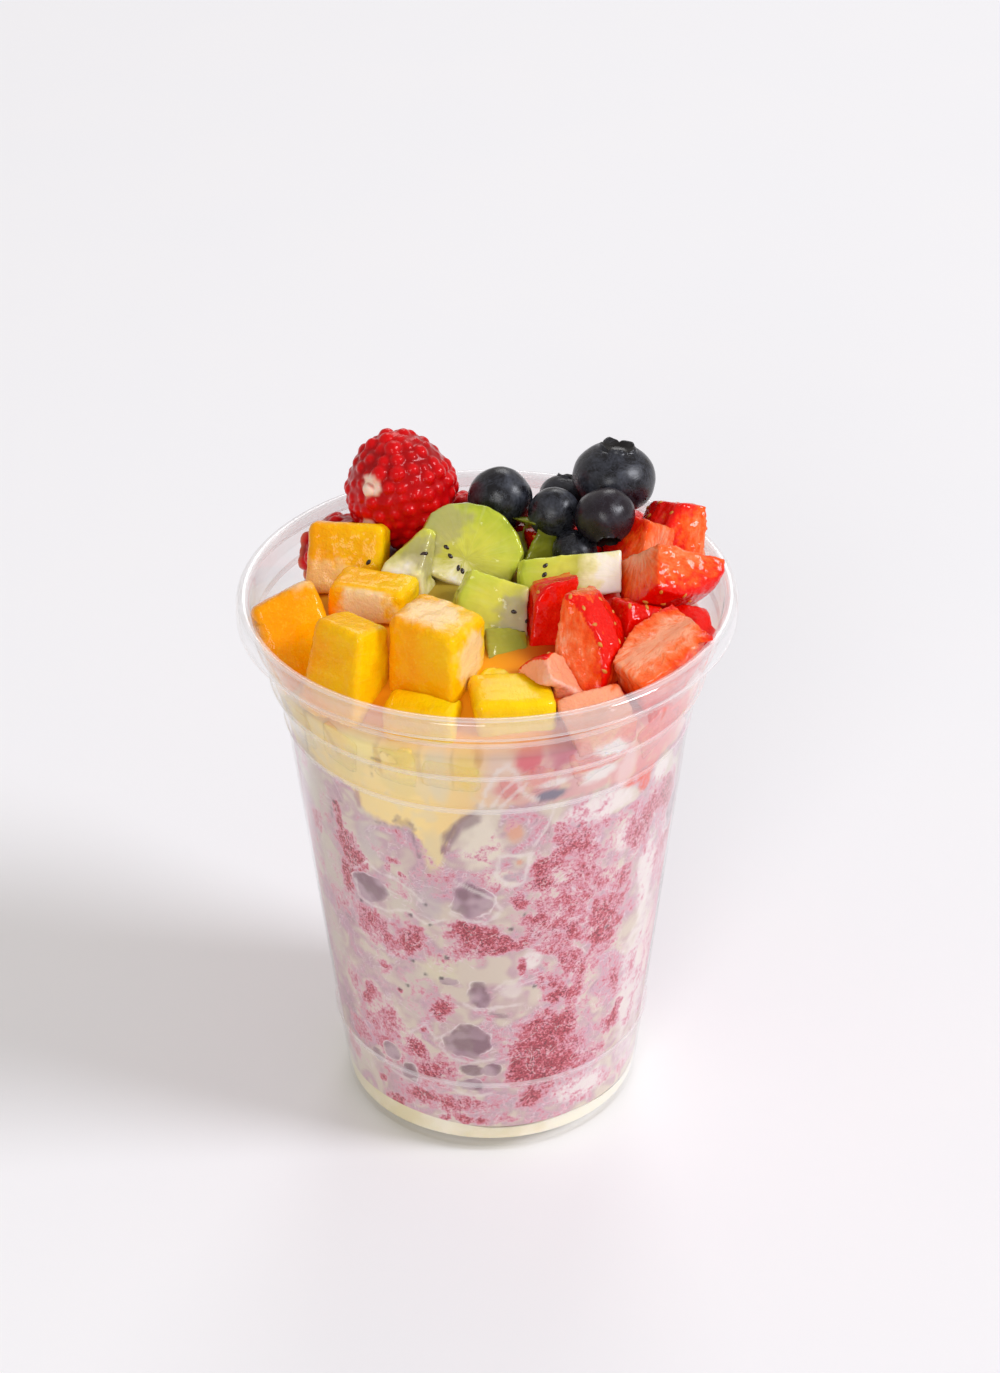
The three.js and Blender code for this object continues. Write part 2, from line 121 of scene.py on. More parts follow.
class ParfaitFilling(bpy.types.PropertyGroup):
    """Levels and colours of the cream and the berry swirl."""

    base_top: length("Bottom cream's level", 7, "Level of the cream at the bottom")
    swirl_top: length("Berry swirl", 90, "Level of the berry swirl")
    cream_edge: length("Cream at the wall", 103.5, "Level of the upper cream at the wall")
    cream_crown: length("Cream crown", 12, "How much higher the upper cream is in the middle")
    grain: length("Pulp grain", 0.55, "Size of the grains of pulp")
    cream: colour("Cream", "DACAB9", "Cream with a little juice")
    base_cream: colour("Bottom cream", "FBF2DE", "Cream at the bottom")
    base_stain: colour("Bottom cream's stain", "E6DAB0", "Mango juice in the cream at the bottom")
    veil: colour("Stained cream", "C29BA5", "Cream stained by berries")
    lilac: colour("Lilac cream", "C69AAD", "Cream most stained by berries")
    halo: colour("Pulp halo", "E8CBD2", "Cream round a patch of pulp")
    pulp_pale: colour("Pale pulp", "DC9FAE", "Grains of berry in cream")
    pulp: colour("Pulp", "C9505F", "Mashed berries")
    pulp_dark: colour("Dark pulp", "7A2A38", "Whole grains of berry")
    pocket: colour("Pocket", "B99CA6", "Smooth pockets of juice at the wall")
    pocket_dark: colour("Dark pocket", "7E5A66", "The darkest pockets")


class ParfaitFruit(bpy.types.PropertyGroup):
    """Colours of the fruit."""

    mango_deep: colour("Deep mango", "FFA000", "Deep orange flesh")
    mango_bright: colour("Bright mango", "FFD408", "Bright yellow flesh")
    strawberry_skin: colour("Strawberry skin", "EA0A00", "Glossy skin")
    strawberry_flesh: colour("Strawberry flesh", "FF5A14", "Flesh under the skin")
    strawberry_core: colour("Strawberry core", "FFA880", "Pale core")
    achene: colour("Strawberry seed", "E0A030", "Seeds on a strawberry's skin")
    kiwi_flesh: colour("Kiwi flesh", "DAD752", "Outer flesh")
    kiwi_core: colour("Kiwi core", "FFF8E4", "Pale core")
    seed: colour("Kiwi seed", "1A1412", "Kiwi seeds")
    raspberry: colour("Raspberry", "CC040C", "Drupelets")
    blueberry: colour("Blueberry", "0C0B12", "Skin")
    bloom: colour("Bloom", "7A8090", "Waxy bloom on the blueberries")


class ParfaitStage(bpy.types.PropertyGroup):
    """Floor and lights."""

    floor: colour("Floor", "F4F4F6", "Colour of the floor")
    sky: FloatProperty(name="Sky", description="Strength of the even light", default=0.5, min=0)
    key: FloatProperty(name="Key", description="Power of the main light", default=214, min=0, unit="POWER")
    fill: FloatProperty(name="Fill", description="Power of the second light", default=20, min=0, unit="POWER")
    back: FloatProperty(name="Back", description="Power of the light behind", default=18, min=0, unit="POWER")


def add(tree, kind, inputs=(), stops=(), **settings):
    """Adds a node: inputs are values, sockets or nodes, which stand for their first output in use, and stops
    are a ramp's places and colours."""
    made = tree.nodes.new(kind)
    for key, value in settings.items():
        setattr(made, key, value)
    for key, value in dict(inputs).items():
        if isinstance(value, bpy.types.Node):
            value = next(socket for socket in value.outputs if socket.enabled)
        if isinstance(value, bpy.types.NodeSocket):
            tree.links.new(value, made.inputs[key])
        elif isinstance(value, tuple) and len(value) == 3 and made.inputs[key].type == "RGBA":
            made.inputs[key].default_value = (*value, 1)
        else:
            made.inputs[key].default_value = value
    for place, (position, tint) in enumerate(stops):
        ramp = made.color_ramp.elements
        element = ramp[place] if place < 2 else ramp.new(position)
        element.position = position
        element.color = (*tint, 1) if isinstance(tint, tuple) else (tint, tint, tint, 1)
    return made


def blank(name):
    """A new material and its empty node tree."""
    look = bpy.data.materials.new(name)
    look.use_nodes = True
    look.node_tree.nodes.clear()
    return look, look.node_tree


def finished(look, surface):
    """The material, with its surface joined to its output."""
    add(look.node_tree, "ShaderNodeOutputMaterial", {"Surface": surface})
    return look


def spun(profile, steps):
    """A bmesh turned about Z from an outline of radius and height, in metres."""
    bm = bmesh.new()
    verts = [bm.verts.new((r, 0, z)) for r, z in profile]
    edges = [bm.edges.new(pair) for pair in zip(verts, verts[1:])]
    bmesh.ops.spin(
        bm, geom=verts + edges, cent=(0, 0, 0), axis=(0, 0, 1), angle=math.tau, steps=steps, use_merge=True
    )
    bmesh.ops.remove_doubles(bm, verts=bm.verts, dist=WELD)
    bmesh.ops.recalc_face_normals(bm, faces=bm.faces)
    return bm


def arc(r, z, radius, start, end, steps):
    """Points of an arc round (r, z), from one angle to another in degrees."""
    angles = (math.radians(start + (end - start) * i / steps) for i in range(steps + 1))
    return [(r + radius * math.cos(a), z + radius * math.sin(a)) for a in angles]


def place_piece(name, bm, looks, nodes=(), sharp=180):
    """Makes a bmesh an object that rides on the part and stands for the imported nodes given."""
    mesh = bpy.data.meshes.new(name)
    bm.to_mesh(mesh)
    bm.free()
    mesh.shade_smooth()
    if sharp < 180:
        mesh.set_sharp_from_angle(angle=math.radians(sharp))
    for look in looks:
        mesh.materials.append(look)
    piece = bpy.data.objects.new(name, mesh)
    bpy.context.scene.collection.objects.link(piece)
    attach(piece, "root")
    if nodes:
        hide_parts(*nodes)
    return piece


def even_mesh(bm, grid):
    """A bmesh of the same closed shape, with an even grid of small faces."""
    mesh = bpy.data.meshes.new("uneven")
    bm.to_mesh(mesh)
    bm.free()
    holder = bpy.data.objects.new("uneven", mesh)
    bpy.context.scene.collection.objects.link(holder)
    remesh = holder.modifiers.new("even", "REMESH")
    remesh.mode = "VOXEL"
    remesh.voxel_size = grid
    ready = holder.evaluated_get(bpy.context.evaluated_depsgraph_get())
    even = bmesh.new()
    even.from_mesh(ready.to_mesh())
    ready.to_mesh_clear()
    bpy.data.objects.remove(holder)
    bpy.data.meshes.remove(mesh)
    return even


def soften(bm, rounds):
    """Rounds the edges of an evenly meshed shape."""
    for _ in range(rounds):
        bmesh.ops.smooth_vert(
            bm, verts=bm.verts, factor=0.5, use_axis_x=True, use_axis_y=True, use_axis_z=True
        )


def packed_copy(node, grid, rounds):
    """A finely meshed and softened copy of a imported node, with its corners trimmed."""
    bm = bmesh.new()
    bm.from_mesh(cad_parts[node].data)
    bmesh.ops.remove_doubles(bm, verts=bm.verts, dist=WELD)
    for at, facing in TRIMS.get(node, ()):
        bmesh.ops.bisect_plane(
            bm, geom=bm.verts[:] + bm.edges[:] + bm.faces[:], plane_co=Vector(at) * MM, plane_no=facing,
            clear_outer=True,
        )
        bmesh.ops.holes_fill(bm, edges=[edge for edge in bm.edges if edge.is_boundary], sides=0)
    even = even_mesh(bm, grid)
    soften(even, rounds)
    return even


def points_of(mesh):
    """The places of a mesh's corners in millimetres, one row each."""
    flat = np.empty(len(mesh.vertices) * 3)
    mesh.vertices.foreach_get("co", flat)
    return flat.reshape(-1, 3) / MM


def normals_of(mesh):
    """The directions that a mesh's corners face, one row each."""
    flat = np.empty(len(mesh.vertices) * 3)
    mesh.vertex_normals.foreach_get("vector", flat)
    return flat.reshape(-1, 3)


def from_axis(points):
    """How far each point is from the Z axis."""
    return np.hypot(points[:, 0], points[:, 1])


def around_axis(points):
    """The angle of each point round the Z axis, in radians."""
    return np.arctan2(points[:, 1], points[:, 0])


def move_points(mesh, points):
    """Puts a mesh's corners at places in millimetres."""
    mesh.vertices.foreach_set("co", (np.asarray(points) * MM).ravel())
    mesh.update()


def paint(mesh, name, values):
    """Stores a number or a vector for each corner of a mesh, for its material to read."""
    values = np.asarray(values, dtype=np.float32)
    kind, field = ("FLOAT", "value") if values.ndim == 1 else ("FLOAT_VECTOR", "vector")
    mesh.attributes.new(name, kind, "POINT").data.foreach_set(field, values.ravel())


def waves(points, size, seed, octaves=1):
    """Smooth random numbers from about -1 to 1 at each point, with swells of the given size."""
    shift = Vector((seed * 17.3, seed * 5.1, seed * 9.7))
    if octaves == 1:
        return np.array([noise.noise(Vector(p) / size + shift) for p in points])
    return np.array([noise.fractal(Vector(p) / size + shift, 0.6, 2.0, octaves) for p in points])


def smoothstep(low, high, values):
    """0 on the side of low, 1 on the side of high, and an even turn between them."""
    t = np.clip((np.asarray(values) - low) / (high - low), 0, 1)
    return t * t * (3 - 2 * t)


def ridge_line(radius_at, z, step, half, steps=6):
    """A soft ring round the wall: points of radius and height across it."""
    rows = []
    for i in range(steps + 1):
        across = -1 + 2 * i / steps
        height = z + across * half
        rows.append((radius_at(height) + step * (0.5 + 0.5 * math.cos(math.pi * across)), height))
    return rows


def body_radius(cup, z):
    """The outer radius of the cup's wall at a height, in metres."""
    if z < cup.shoulder_height:
        along = (z - cup.foot_corner) / (cup.shoulder_height - cup.foot_corner)
        return cup.foot_radius + (cup.shoulder_radius - cup.foot_radius) * along
    lip_z, lip_radius = CUP_TOP - cup.rim_height, RIM_RADIUS - cup.rim_width
    along = (z - cup.shoulder_height) / (lip_z - cup.shoulder_height)
    return cup.shoulder_radius + (lip_radius - cup.shoulder_radius) * along


def inner_radius(cup, z):
    """The inner radius of the cup's wall at a height, in metres."""
    return body_radius(cup, z) - cup.wall


def inner_radii(cup, heights):
    """The inner radius of the wall in millimetres at each of many heights in millimetres."""
    z = np.asarray(heights)
    foot, corner = cup.foot_radius / MM, cup.foot_corner / MM
    shoulder_z, shoulder = cup.shoulder_height / MM, cup.shoulder_radius / MM
    lip_z, lip = (CUP_TOP - cup.rim_height) / MM, (RIM_RADIUS - cup.rim_width) / MM
    # Above the lip the wall leans a little further out, under the rim's curl
    outer = np.interp(z, [corner, shoulder_z, lip_z, lip_z + 3], [foot, shoulder, lip, lip + 0.6])
    return outer - cup.wall / MM


def look_clear_plastic(name, milk):
    """PET sheet, thermoformed: clear and glossy, too thin to bend what is seen through it, and the more
    milky the more it was stretched; the milkiest bands are also painted highlight, standing in for the bright
    lines that light draws along the rings and rim."""
    look, tree = blank(name)
    place = add(tree, "ShaderNodeTexCoord").outputs["Object"]
    swell = add(tree, "ShaderNodeTexNoise", {"Vector": place, "Scale": 1 / (9 * MM), "Detail": 1.0})
    bump = add(tree, "ShaderNodeBump", {"Height": swell, "Strength": 0.2, "Distance": 0.5 * MM})
    slant = add(tree, "ShaderNodeLayerWeight", {"Blend": 0.5, "Normal": bump})
    steep = add(tree, "ShaderNodeMath", {0: slant.outputs["Facing"], 1: 4.5}, operation="POWER")
    mirror = add(tree, "ShaderNodeMapRange", {0: steep, 3: 0.045, 4: 0.9})
    clear = add(tree, "ShaderNodeBsdfTransparent", {"Color": linear("FEFEFE")})
    gloss = add(tree, "ShaderNodeBsdfAnisotropic", {
        "Color": linear("FFFFFF"), "Roughness": 0.07, "Normal": bump,
    })
    haze = add(tree, "ShaderNodeBsdfPrincipled", {"Base Color": linear("FBF8F8"), "Roughness": 0.25})
    veiled = add(tree, "ShaderNodeMixShader", {0: milk, 1: clear, 2: haze})
    both = add(tree, "ShaderNodeMixShader", {0: mirror, 1: veiled, 2: gloss})
    return finished(look, both)


class PARFAIT_OT_cup(bpy.types.Operator):
    """Build the clear cup with its rolled rim, rings and recessed foot"""

    bl_idname = "parfait.cup"
    bl_label = "Cup"

    def execute(self, context):
        cup = context.scene.parfait_cup
        lip_z, lip_radius = CUP_TOP - cup.rim_height, RIM_RADIUS - cup.rim_width
        foot = cup.foot_radius - cup.foot_corner
        # The foot touches the floor a little in from its rounding, and its recess starts with a slope
        contact, slope = foot - 1 * MM, 1.6 * MM
        underside = [(0, cup.recess), (contact - slope, cup.recess), (contact, 0)]
        corner = arc(foot, cup.foot_corner, cup.foot_corner, -90, 0, 8)
        side = []
        # The last ring is a faint one under the lip
        rings = (cup.ridge_height, cup.shoulder_height, cup.ring_height, lip_z - 3.2 * MM)
        for height in rings:
            side += ridge_line(lambda z: body_radius(cup, z), height, cup.ridge_step, half=1 * MM)
        # The rim is a curl of the wall's own sheet, open below
        soft = cup.rim_width / 2
        sheet = 0.65 * MM
        top_z, middle = CUP_TOP - soft, RIM_RADIUS - soft
        under = [(lip_radius, lip_z - 0.4 * MM), *arc(middle, top_z, soft - sheet, 180, 0, 8)]
        edge = arc(RIM_RADIUS - sheet / 2, lip_z + sheet / 2, sheet / 2, 180, 360, 6)
        over = arc(middle, top_z, soft, 0, 180, 18)
        floor_z = cup.recess + cup.wall
        levels = (lip_z, cup.shoulder_height, cup.foot_corner + FLOOR_RISE)
        inside = [(inner_radius(cup, z), z) for z in levels]
        inside += [(foot - FLOOR_INSET, floor_z), (0, floor_z)]
        bm = spun(underside + corner + side + under + edge + over + inside, steps=192)
        # The sheet is stretched most along the rings, on the rim's top and along its lower edge, and is
        # milkiest there;
        #         these milky bands are partly painted highlight for the light lines along them
        for face in bm.faces:
            at = face.calc_center_median()
            outside = math.hypot(at.x, at.y) > body_radius(cup, at.z) - 0.3 * MM
            ringed = outside and min(abs(at.z - z) for z in rings) < 0.75 * MM
            on_rim = at.z > lip_z - 0.2 * MM
            low_edge = on_rim and at.z < lip_z + 0.7 * MM and math.hypot(at.x, at.y) > RIM_RADIUS - sheet
            stretched = ringed or low_edge or at.z > CUP_TOP - 0.3 * MM
            face.material_index = 2 if stretched else 1 if on_rim else 0
        looks = [look_clear_plastic("clear_pet", 0.02), look_clear_plastic("rolled_pet", 0.07),
                 look_clear_plastic("stretched_pet", 0.3)]
        place_piece("cup_shell", bm, looks, ["cup"], sharp=60)
        return {"FINISHED"}


def blend(first, second, amount):
    """Rows of colour or place, mixed row by row."""
    amount = np.asarray(amount)[:, None]
    return np.asarray(first) * (1 - amount) + np.asarray(second) * amount


# How far what fills the cup reaches into its wall, so that no air shows between them, and how much further
# the fruit reaches, so that it shows in front of the filling
INTO_WALL = 0.15
FRUIT_FURTHER = 0.07

# The filling's layers: the radii at which the bottom cream's waves and the others' are whole, how near the
# wall their corners are set to it, the radius of a ring of corners in their flat ends, and the radius at
# which the upper cream's dome ends
BOTTOM_WAVE_RADIUS = 30.4
WAVE_RADIUS = 36
FITTED = 2
END_RING = 20 * MM
DOME_RADIUS = 43 * MM

# The side away from the front, in degrees
HIDDEN = (345, 555)

# Tongues of cream that hang into the swirl: angle in degrees, width in degrees and drop in mm
TONGUES = ((254, 7, 8), (240, 12, 6), (278, 6, 9))

# Tints of what shows through the wall
TINTS = {
    "white": "EFE4DF", "cream": "E9DCCA", "grey": "D6C9B8", "sallow": "DDD2B4", "warm": "EAD5A4",
    "lemon": "FBE695", "corn": "F3D26C", "straw": "EED68E", "pale": "E9D8B4", "amber": "D59C55",
    "dun_shade": "CDAF78", "peach": "E6C6B2", "apricot": "E2A384", "pink": "E99A9A", "blush": "F0CFCB",
    "rose": "DC6470", "mauve": "C56C7E", "plum": "B08088", "lilac": "BDA2AC", "slate": "83798A",
    "shade": "8A6C74", "dark": "5C484E", "scarlet": "E9573F", "mist": "C6B4B8",
}

# The colours of the upper zone round the wall: angle and colour
UPPER_TINTS = (
    (30, "E7B0A4"), (90, "E3B9A0"), (150, "E6C79A"), (200, "E4CE9C"), (222, "F4D894"), (250, "FFE094"),
    (264, "F6D28E"), (272, "E8C4AC"), (283, "D89C9C"), (300, "E3B4B0"), (318, "E69C9A"), (340, "EFBDB8"),
)

# The golden cream's lower edge: angle and height
GOLD_EDGE = (
    (60, 92), (120, 84), (180, 89), (205, 91), (229, 90.5), (233, 85), (241, 84.5), (247, 86), (251, 81),
    (255, 77), (258, 82), (262, 88), (267, 92), (345, 92),
)

# Patches against the wall, over one another in this order: tint, angle in degrees, height, half width and
# half height in mm, lean in degrees and strength
PATCHES = (
    ("grey", 209, 84, 6, 8, 0, 0.8), ("grey", 212, 66, 4.5, 9, 0, 0.8), ("grey", 206, 44, 5, 9, 0, 0.8),
    ("grey", 242, 66.5, 3.8, 5.6, 0, 0.9), ("grey", 233, 77, 3.2, 4, 0, 0.7),
    ("mist", 251, 67, 2.8, 5, 0, 0.6), ("sallow", 254, 50, 4, 4.4, 0, 0.9), ("grey", 244, 44, 4, 5, 0, 0.8),
    ("grey", 243, 36.5, 3, 3, 0, 0.7), ("cream", 268, 82, 4.6, 7.5, 0, 1.0),
    ("cream", 273, 74, 4, 3, 0, 0.9), ("warm", 253.5, 80, 2.4, 6, 0, 0.8),
    ("white", 304, 87.5, 9, 3.6, 0, 0.9), ("white", 313, 77, 2.4, 4.4, 0, 0.7),
    ("white", 328, 62, 4, 12, 0, 0.9), ("white", 331, 35, 7, 20, 0, 0.8), ("white", 306, 13, 7, 4, 0, 0.9),
    ("white", 283, 52.5, 2, 2.6, 0, 0.8), ("white", 277, 45, 2.4, 2.4, 0, 0.5),
    ("blush", 338, 64, 4, 9, 0, 0.6), ("blush", 340, 42, 4, 9, 0, 0.6), ("lilac", 275, 14, 3, 3.4, 0, 0.5),
    # The strips of dun near 103 mm high are painted shade in the gaps between the mango blocks behind the
    # wall
    ("dun_shade", 216.5, 103, 0.8, 6, -10, 0.6), ("dun_shade", 226, 102, 0.7, 7, 15, 0.5),
    ("dun_shade", 241, 103, 0.6, 6, 0, 0.6), ("dun_shade", 252.3, 103, 0.6, 6, 0, 0.5),
    ("dun_shade", 261, 103, 0.5, 6, 0, 0.5), ("shade", 207, 24, 4.5, 6, 0, 0.35), ("mist", 232, 79, 3, 5, 0, 0.5),
    ("grey", 205, 97, 3.6, 6, 20, 0.8), ("lemon", 236, 106, 3.3, 5.4, 12, 0.9),
    ("straw", 229, 96, 5.4, 3, 25, 0.8), ("corn", 247.5, 106, 3.6, 5.4, 0, 0.85),
    ("straw", 246, 95.5, 4.6, 3, 0, 0.7), ("pale", 257, 101, 2.6, 9, 0, 0.8),
    ("corn", 265, 103, 2.6, 7, 0, 0.7), ("amber", 267.6, 106, 0.9, 3.6, 0, 0.7),
    ("peach", 273, 101, 2.8, 8, 0, 0.9), ("rose", 280.5, 105.5, 2.9, 4.4, 0, 0.95),
    ("mauve", 289, 105.5, 3.2, 5, 0, 0.9), ("rose", 275, 96.5, 2.4, 3.4, 0, 0.6),
    ("pink", 284, 99, 3, 2, 0, 0.6), ("slate", 287, 94.2, 3.3, 1.7, 8, 1.0),
    ("white", 287.5, 97.5, 3.4, 1.1, 6, 0.9), ("pink", 323, 101, 8, 8, 0, 0.8),
    ("blush", 310, 96, 2.4, 5, 0, 0.8), ("blush", 340, 100, 4.4, 9, 0, 0.8),
    ("white", 303, 103, 4.8, 2.4, -14, 1.0), ("white", 301, 97, 4.4, 2.4, 0, 1.0),
    ("scarlet", 319.5, 106.6, 0.6, 2.4, 0, 1.0), ("scarlet", 317, 90.3, 4.2, 1.3, 0, 1.0),
    ("scarlet", 319.5, 88, 1.8, 2, 0, 1.0), ("white", 328.5, 88, 3.4, 2.4, 0, 0.9),
    ("dun_shade", 245.5, 86, 2, 0.9, 0, 0.8), ("apricot", 277, 86, 2, 3, 15, 0.9),
    ("plum", 285.4, 86.5, 1.2, 3.2, 25, 0.9), ("lilac", 277.5, 74.4, 3, 1.1, 0, 0.9),
    ("apricot", 278.8, 78, 0.8, 0.8, 0, 0.8), ("shade", 264, 88.5, 1.7, 3, -45, 0.7),
    ("shade", 259.5, 85, 1.5, 3.2, -30, 0.75), ("plum", 257.3, 81, 0.9, 1.4, -20, 0.9),
    ("plum", 230.5, 88, 0.8, 2.4, 0, 0.7), ("shade", 219, 54, 1.6, 1.6, 0, 0.5),
    ("shade", 272.5, 38, 1.9, 0.8, -20, 0.7),
)

# Thin lines against the wall: tint, half width in mm and the places that the line passes, as angle and height
LINES = (
    ("white", 0.4, ((268, 92), (269.5, 97), (272.5, 102.5), (275, 103.4), (277, 101.5), (278, 98),
        (280, 95), (283, 93.4))), ("white", 0.3, ((271, 92.5), (274, 97), (278, 100.5))),
    ("white", 0.3, ((280, 98.5), (276, 95), (273, 92))),
    ("scarlet", 0.4, ((292.5, 99.4), (300, 99), (308, 99.6))),
    ("dark", 0.12, ((213.5, 99.5), (211.5, 96), (209, 92))), ("dark", 0.1, ((238.5, 99.5), (237.6, 96))),
    ("dark", 0.2, ((239, 101.3), (241.5, 101.6))),
    ("shade", 0.2, ((266.5, 91), (261, 88), (257.8, 83), (256.5, 80.4))),
    ("shade", 0.15, ((242.5, 85.5), (244, 87.3), (247, 87), (248.7, 84.8))),
    ("shade", 0.15, ((236, 84), (240, 84.6), (248, 84), (249.5, 78))),
    ("white", 0.3, ((288.5, 91), (286.5, 86), (283, 82))),
    ("white", 0.4, ((273, 79.8), (277, 79.9), (282, 80), (281.3, 76.5), (280, 73), (276, 72), (272, 75),
        (273, 79.8))), ("white", 0.2, ((225, 69), (231, 72.6), (235, 71), (240, 71), (246, 69), (250, 66))),
    ("white", 0.25, ((224.6, 66), (225.5, 62), (230, 61.2), (237, 61.6))),
    ("white", 0.3, ((258, 65), (263, 63.3), (269, 62.8), (273.5, 66), (271, 69), (259.5, 73.4))),
    ("white", 0.25, ((252, 28), (256, 25.5), (263, 24.8), (271, 26))),
    ("white", 0.3, ((256, 16.6), (262, 15.3), (270, 16.2))),
    ("white", 0.25, ((261, 41), (266, 39.5), (272, 40.3), (280, 40.6))),
    ("white", 0.25, ((271, 45), (275, 47.3), (280, 47.6))),
    ("white", 0.2, ((285.4, 53.6), (286.3, 52.4), (285, 50.8), (283, 51), (282.4, 52.4), (283.6, 53.8),
        (285.4, 53.6))), ("shade", 0.12, ((223, 85), (218, 84), (217.5, 79))),
    ("white", 0.2, ((238, 62), (244, 63.5), (250, 61), (256, 63))),
    ("white", 0.2, ((240, 30), (247, 33.5), (250, 30), (256, 33))),
    ("white", 0.2, ((229, 17), (236, 16), (243, 17.3))),
)

# Clusters of pulp against the wall: angle in degrees, height, half width and half height in mm, lean in
# degrees and how dense the pulp is. The broad thin ones come first
PULP = (
    (316, 76, 15, 11, 0, 0.24), (294, 66, 12, 13, 0, 0.32), (290, 28, 9, 13, 0, 0.5),
    (233, 56, 9, 6, -15, 0.46), (225, 30, 8, 14, 0, 0.36), (247, 22, 9, 8, 0, 0.4),
    (250, 12, 14, 4, 0, 0.42), (303, 44, 9, 11, 0, 0.34), (296, 81, 8, 6, 0, 0.28),
    (262, 57, 8, 6, 0, 0.46), (8, 60, 16, 22, 0, 0.46), (52, 34, 14, 18, 0, 0.46),
    (74, 68, 15, 14, 0, 0.46), (112, 40, 15, 20, 0, 0.46), (140, 66, 14, 15, 0, 0.46),
    (168, 34, 13, 17, 0, 0.46), (190, 64, 11, 18, 0, 0.4), (28, 18, 14, 8, 0, 0.46),
    (95, 15, 14, 7, 0, 0.44), (220.5, 81, 1.3, 4, 0, 0.95), (223, 75, 3.2, 5, 0, 0.95),
    (225, 71.5, 3.8, 3, 0, 0.95), (221, 66, 2, 5, 0, 0.9), (229, 57, 5, 3.6, -20, 0.6),
    (236, 54, 2.5, 3, 0, 0.55), (216, 58, 4, 4, 0, 0.4), (244.5, 56, 2.8, 4.6, -15, 0.9),
    (241, 75.6, 1.7, 0.9, 0, 0.85), (238.6, 73.4, 0.8, 1.5, 0, 0.8), (243.6, 72.2, 1.6, 0.8, -30, 0.8),
    (252.7, 74, 1.1, 0.5, 0, 0.8), (268, 71, 1.3, 1, 0, 0.85), (263, 59.6, 2.7, 4, 0, 1.0),
    (268.5, 57.5, 2.8, 3.2, 0, 1.0), (275, 57, 3.4, 2.6, 0, 0.9), (280, 51, 0.9, 2.4, 0, 0.85),
    (294, 82, 4.2, 4, 0, 0.62), (301, 81, 3, 2.6, 0, 0.36), (310, 82.5, 3, 2, 0, 0.38),
    (286, 76.5, 3.4, 3, 0, 0.78), (285, 71.5, 3, 2, 0, 0.88), (279, 68, 1.6, 2.4, 0, 0.85),
    (297, 75, 6, 5, 0, 0.26), (290, 64, 6, 6, 0, 0.4), (300, 68, 5, 6, 0, 0.36), (302, 58, 4, 5, 0, 0.42),
    (284, 60, 3, 4, 0, 0.5), (310, 57, 4.6, 9, -8, 0.8), (316, 66, 2, 4, 0, 0.7),
    (321, 76, 4.4, 5.5, 10, 0.7), (330, 81, 5.5, 4, -20, 0.7), (337, 79, 4, 6, 0, 0.85),
    (337, 64, 3, 6, 0, 0.5), (293, 56, 4, 4, 0, 0.5), (297, 50, 3.4, 6, 0, 0.64),
    (288, 46, 2.6, 4, 0, 0.66), (301, 45, 1, 5, 0, 0.75), (298, 41, 3.6, 1.6, -20, 0.85),
    (292, 41, 3, 2, 0, 0.75), (288, 30, 5.8, 6.5, 0, 0.96), (287, 22, 5.5, 6, 0, 1.0),
    (295, 32, 3.2, 6, 0, 0.88), (281, 27, 2.6, 3.5, 0, 0.88), (284, 14, 3, 3.4, 0, 0.88),
    (297, 22, 2.6, 4, 0, 0.8), (279, 20, 2.2, 4, 0, 0.75), (308, 21, 5, 3.4, 0, 0.64),
    (303, 25, 3, 4, 0, 0.5), (317, 27.5, 3.2, 2.8, -25, 0.85), (321, 31, 1.6, 1.4, 0, 0.75),
    (317, 39, 1.6, 4.4, 10, 0.75), (313, 46, 1.6, 2, 0, 0.55), (253, 38.8, 2.7, 3.4, -15, 0.96),
    (243, 26.5, 2.6, 3.2, 0, 0.92), (248.5, 21.5, 3, 2.6, 0, 0.96), (222, 35, 1.5, 3.8, -25, 0.85),
    (222, 28, 2.4, 1.6, 0, 0.6), (232, 31, 3, 3.5, 0, 0.45), (233, 46, 2.6, 1.8, 0, 0.65),
    (238, 41, 0.8, 0.8, 0, 0.9), (246, 32, 2, 1.6, 0, 0.75), (205, 15, 4, 4, 0, 0.65),
    (224, 13, 1.7, 1.3, 0, 0.9), (230.5, 8, 3, 2.2, 0, 1.0), (241, 13, 3.6, 2, 0, 0.9),
    (255, 13, 3, 2.4, 0, 0.62), (262, 13, 3, 2, 0, 0.5), (251.5, 8, 1.3, 1, 0, 0.9),
    (259, 8, 1.6, 1.4, 0, 0.85), (266.5, 8.4, 2.8, 1.4, 0, 0.85), (276, 8.6, 2.5, 1, 0, 0.5),
    (318, 12, 3.4, 2.6, 0, 0.42), (330, 10, 3, 1.8, 0, 0.42), (204, 88, 3, 3.5, 0, 0.42),
    (207, 75, 2.6, 4, 0, 0.5), (213, 23, 4, 3.4, 0, 0.5), (214, 38, 3, 4, 0, 0.4), (228, 23, 3, 3, 0, 0.4),
)

# Smooth pockets of juice against the wall: angle, height, half width, half height, lean and darkness
POCKETS = (
    (231, 65.6, 4.6, 4.2, 0, 0.35), (264.6, 68.4, 4.2, 4.4, 38, 0.3), (266, 43.6, 2.6, 3.6, 10, 0.75),
    (261.5, 30.4, 5.4, 4.8, 0, 0.95), (263, 22.8, 2.6, 1.6, 0, 0.8), (270.5, 23, 2.4, 1.8, 0, 0.3),
    (263, 18.6, 2.8, 1.8, 0, 0.5), (238.5, 18.8, 2.2, 2.4, -15, 0.4), (231, 22, 2.6, 2.6, 0, 0.25),
    (224, 19, 2, 2, 0, 0.35), (256, 46.5, 2, 1, 0, 0.5),
)

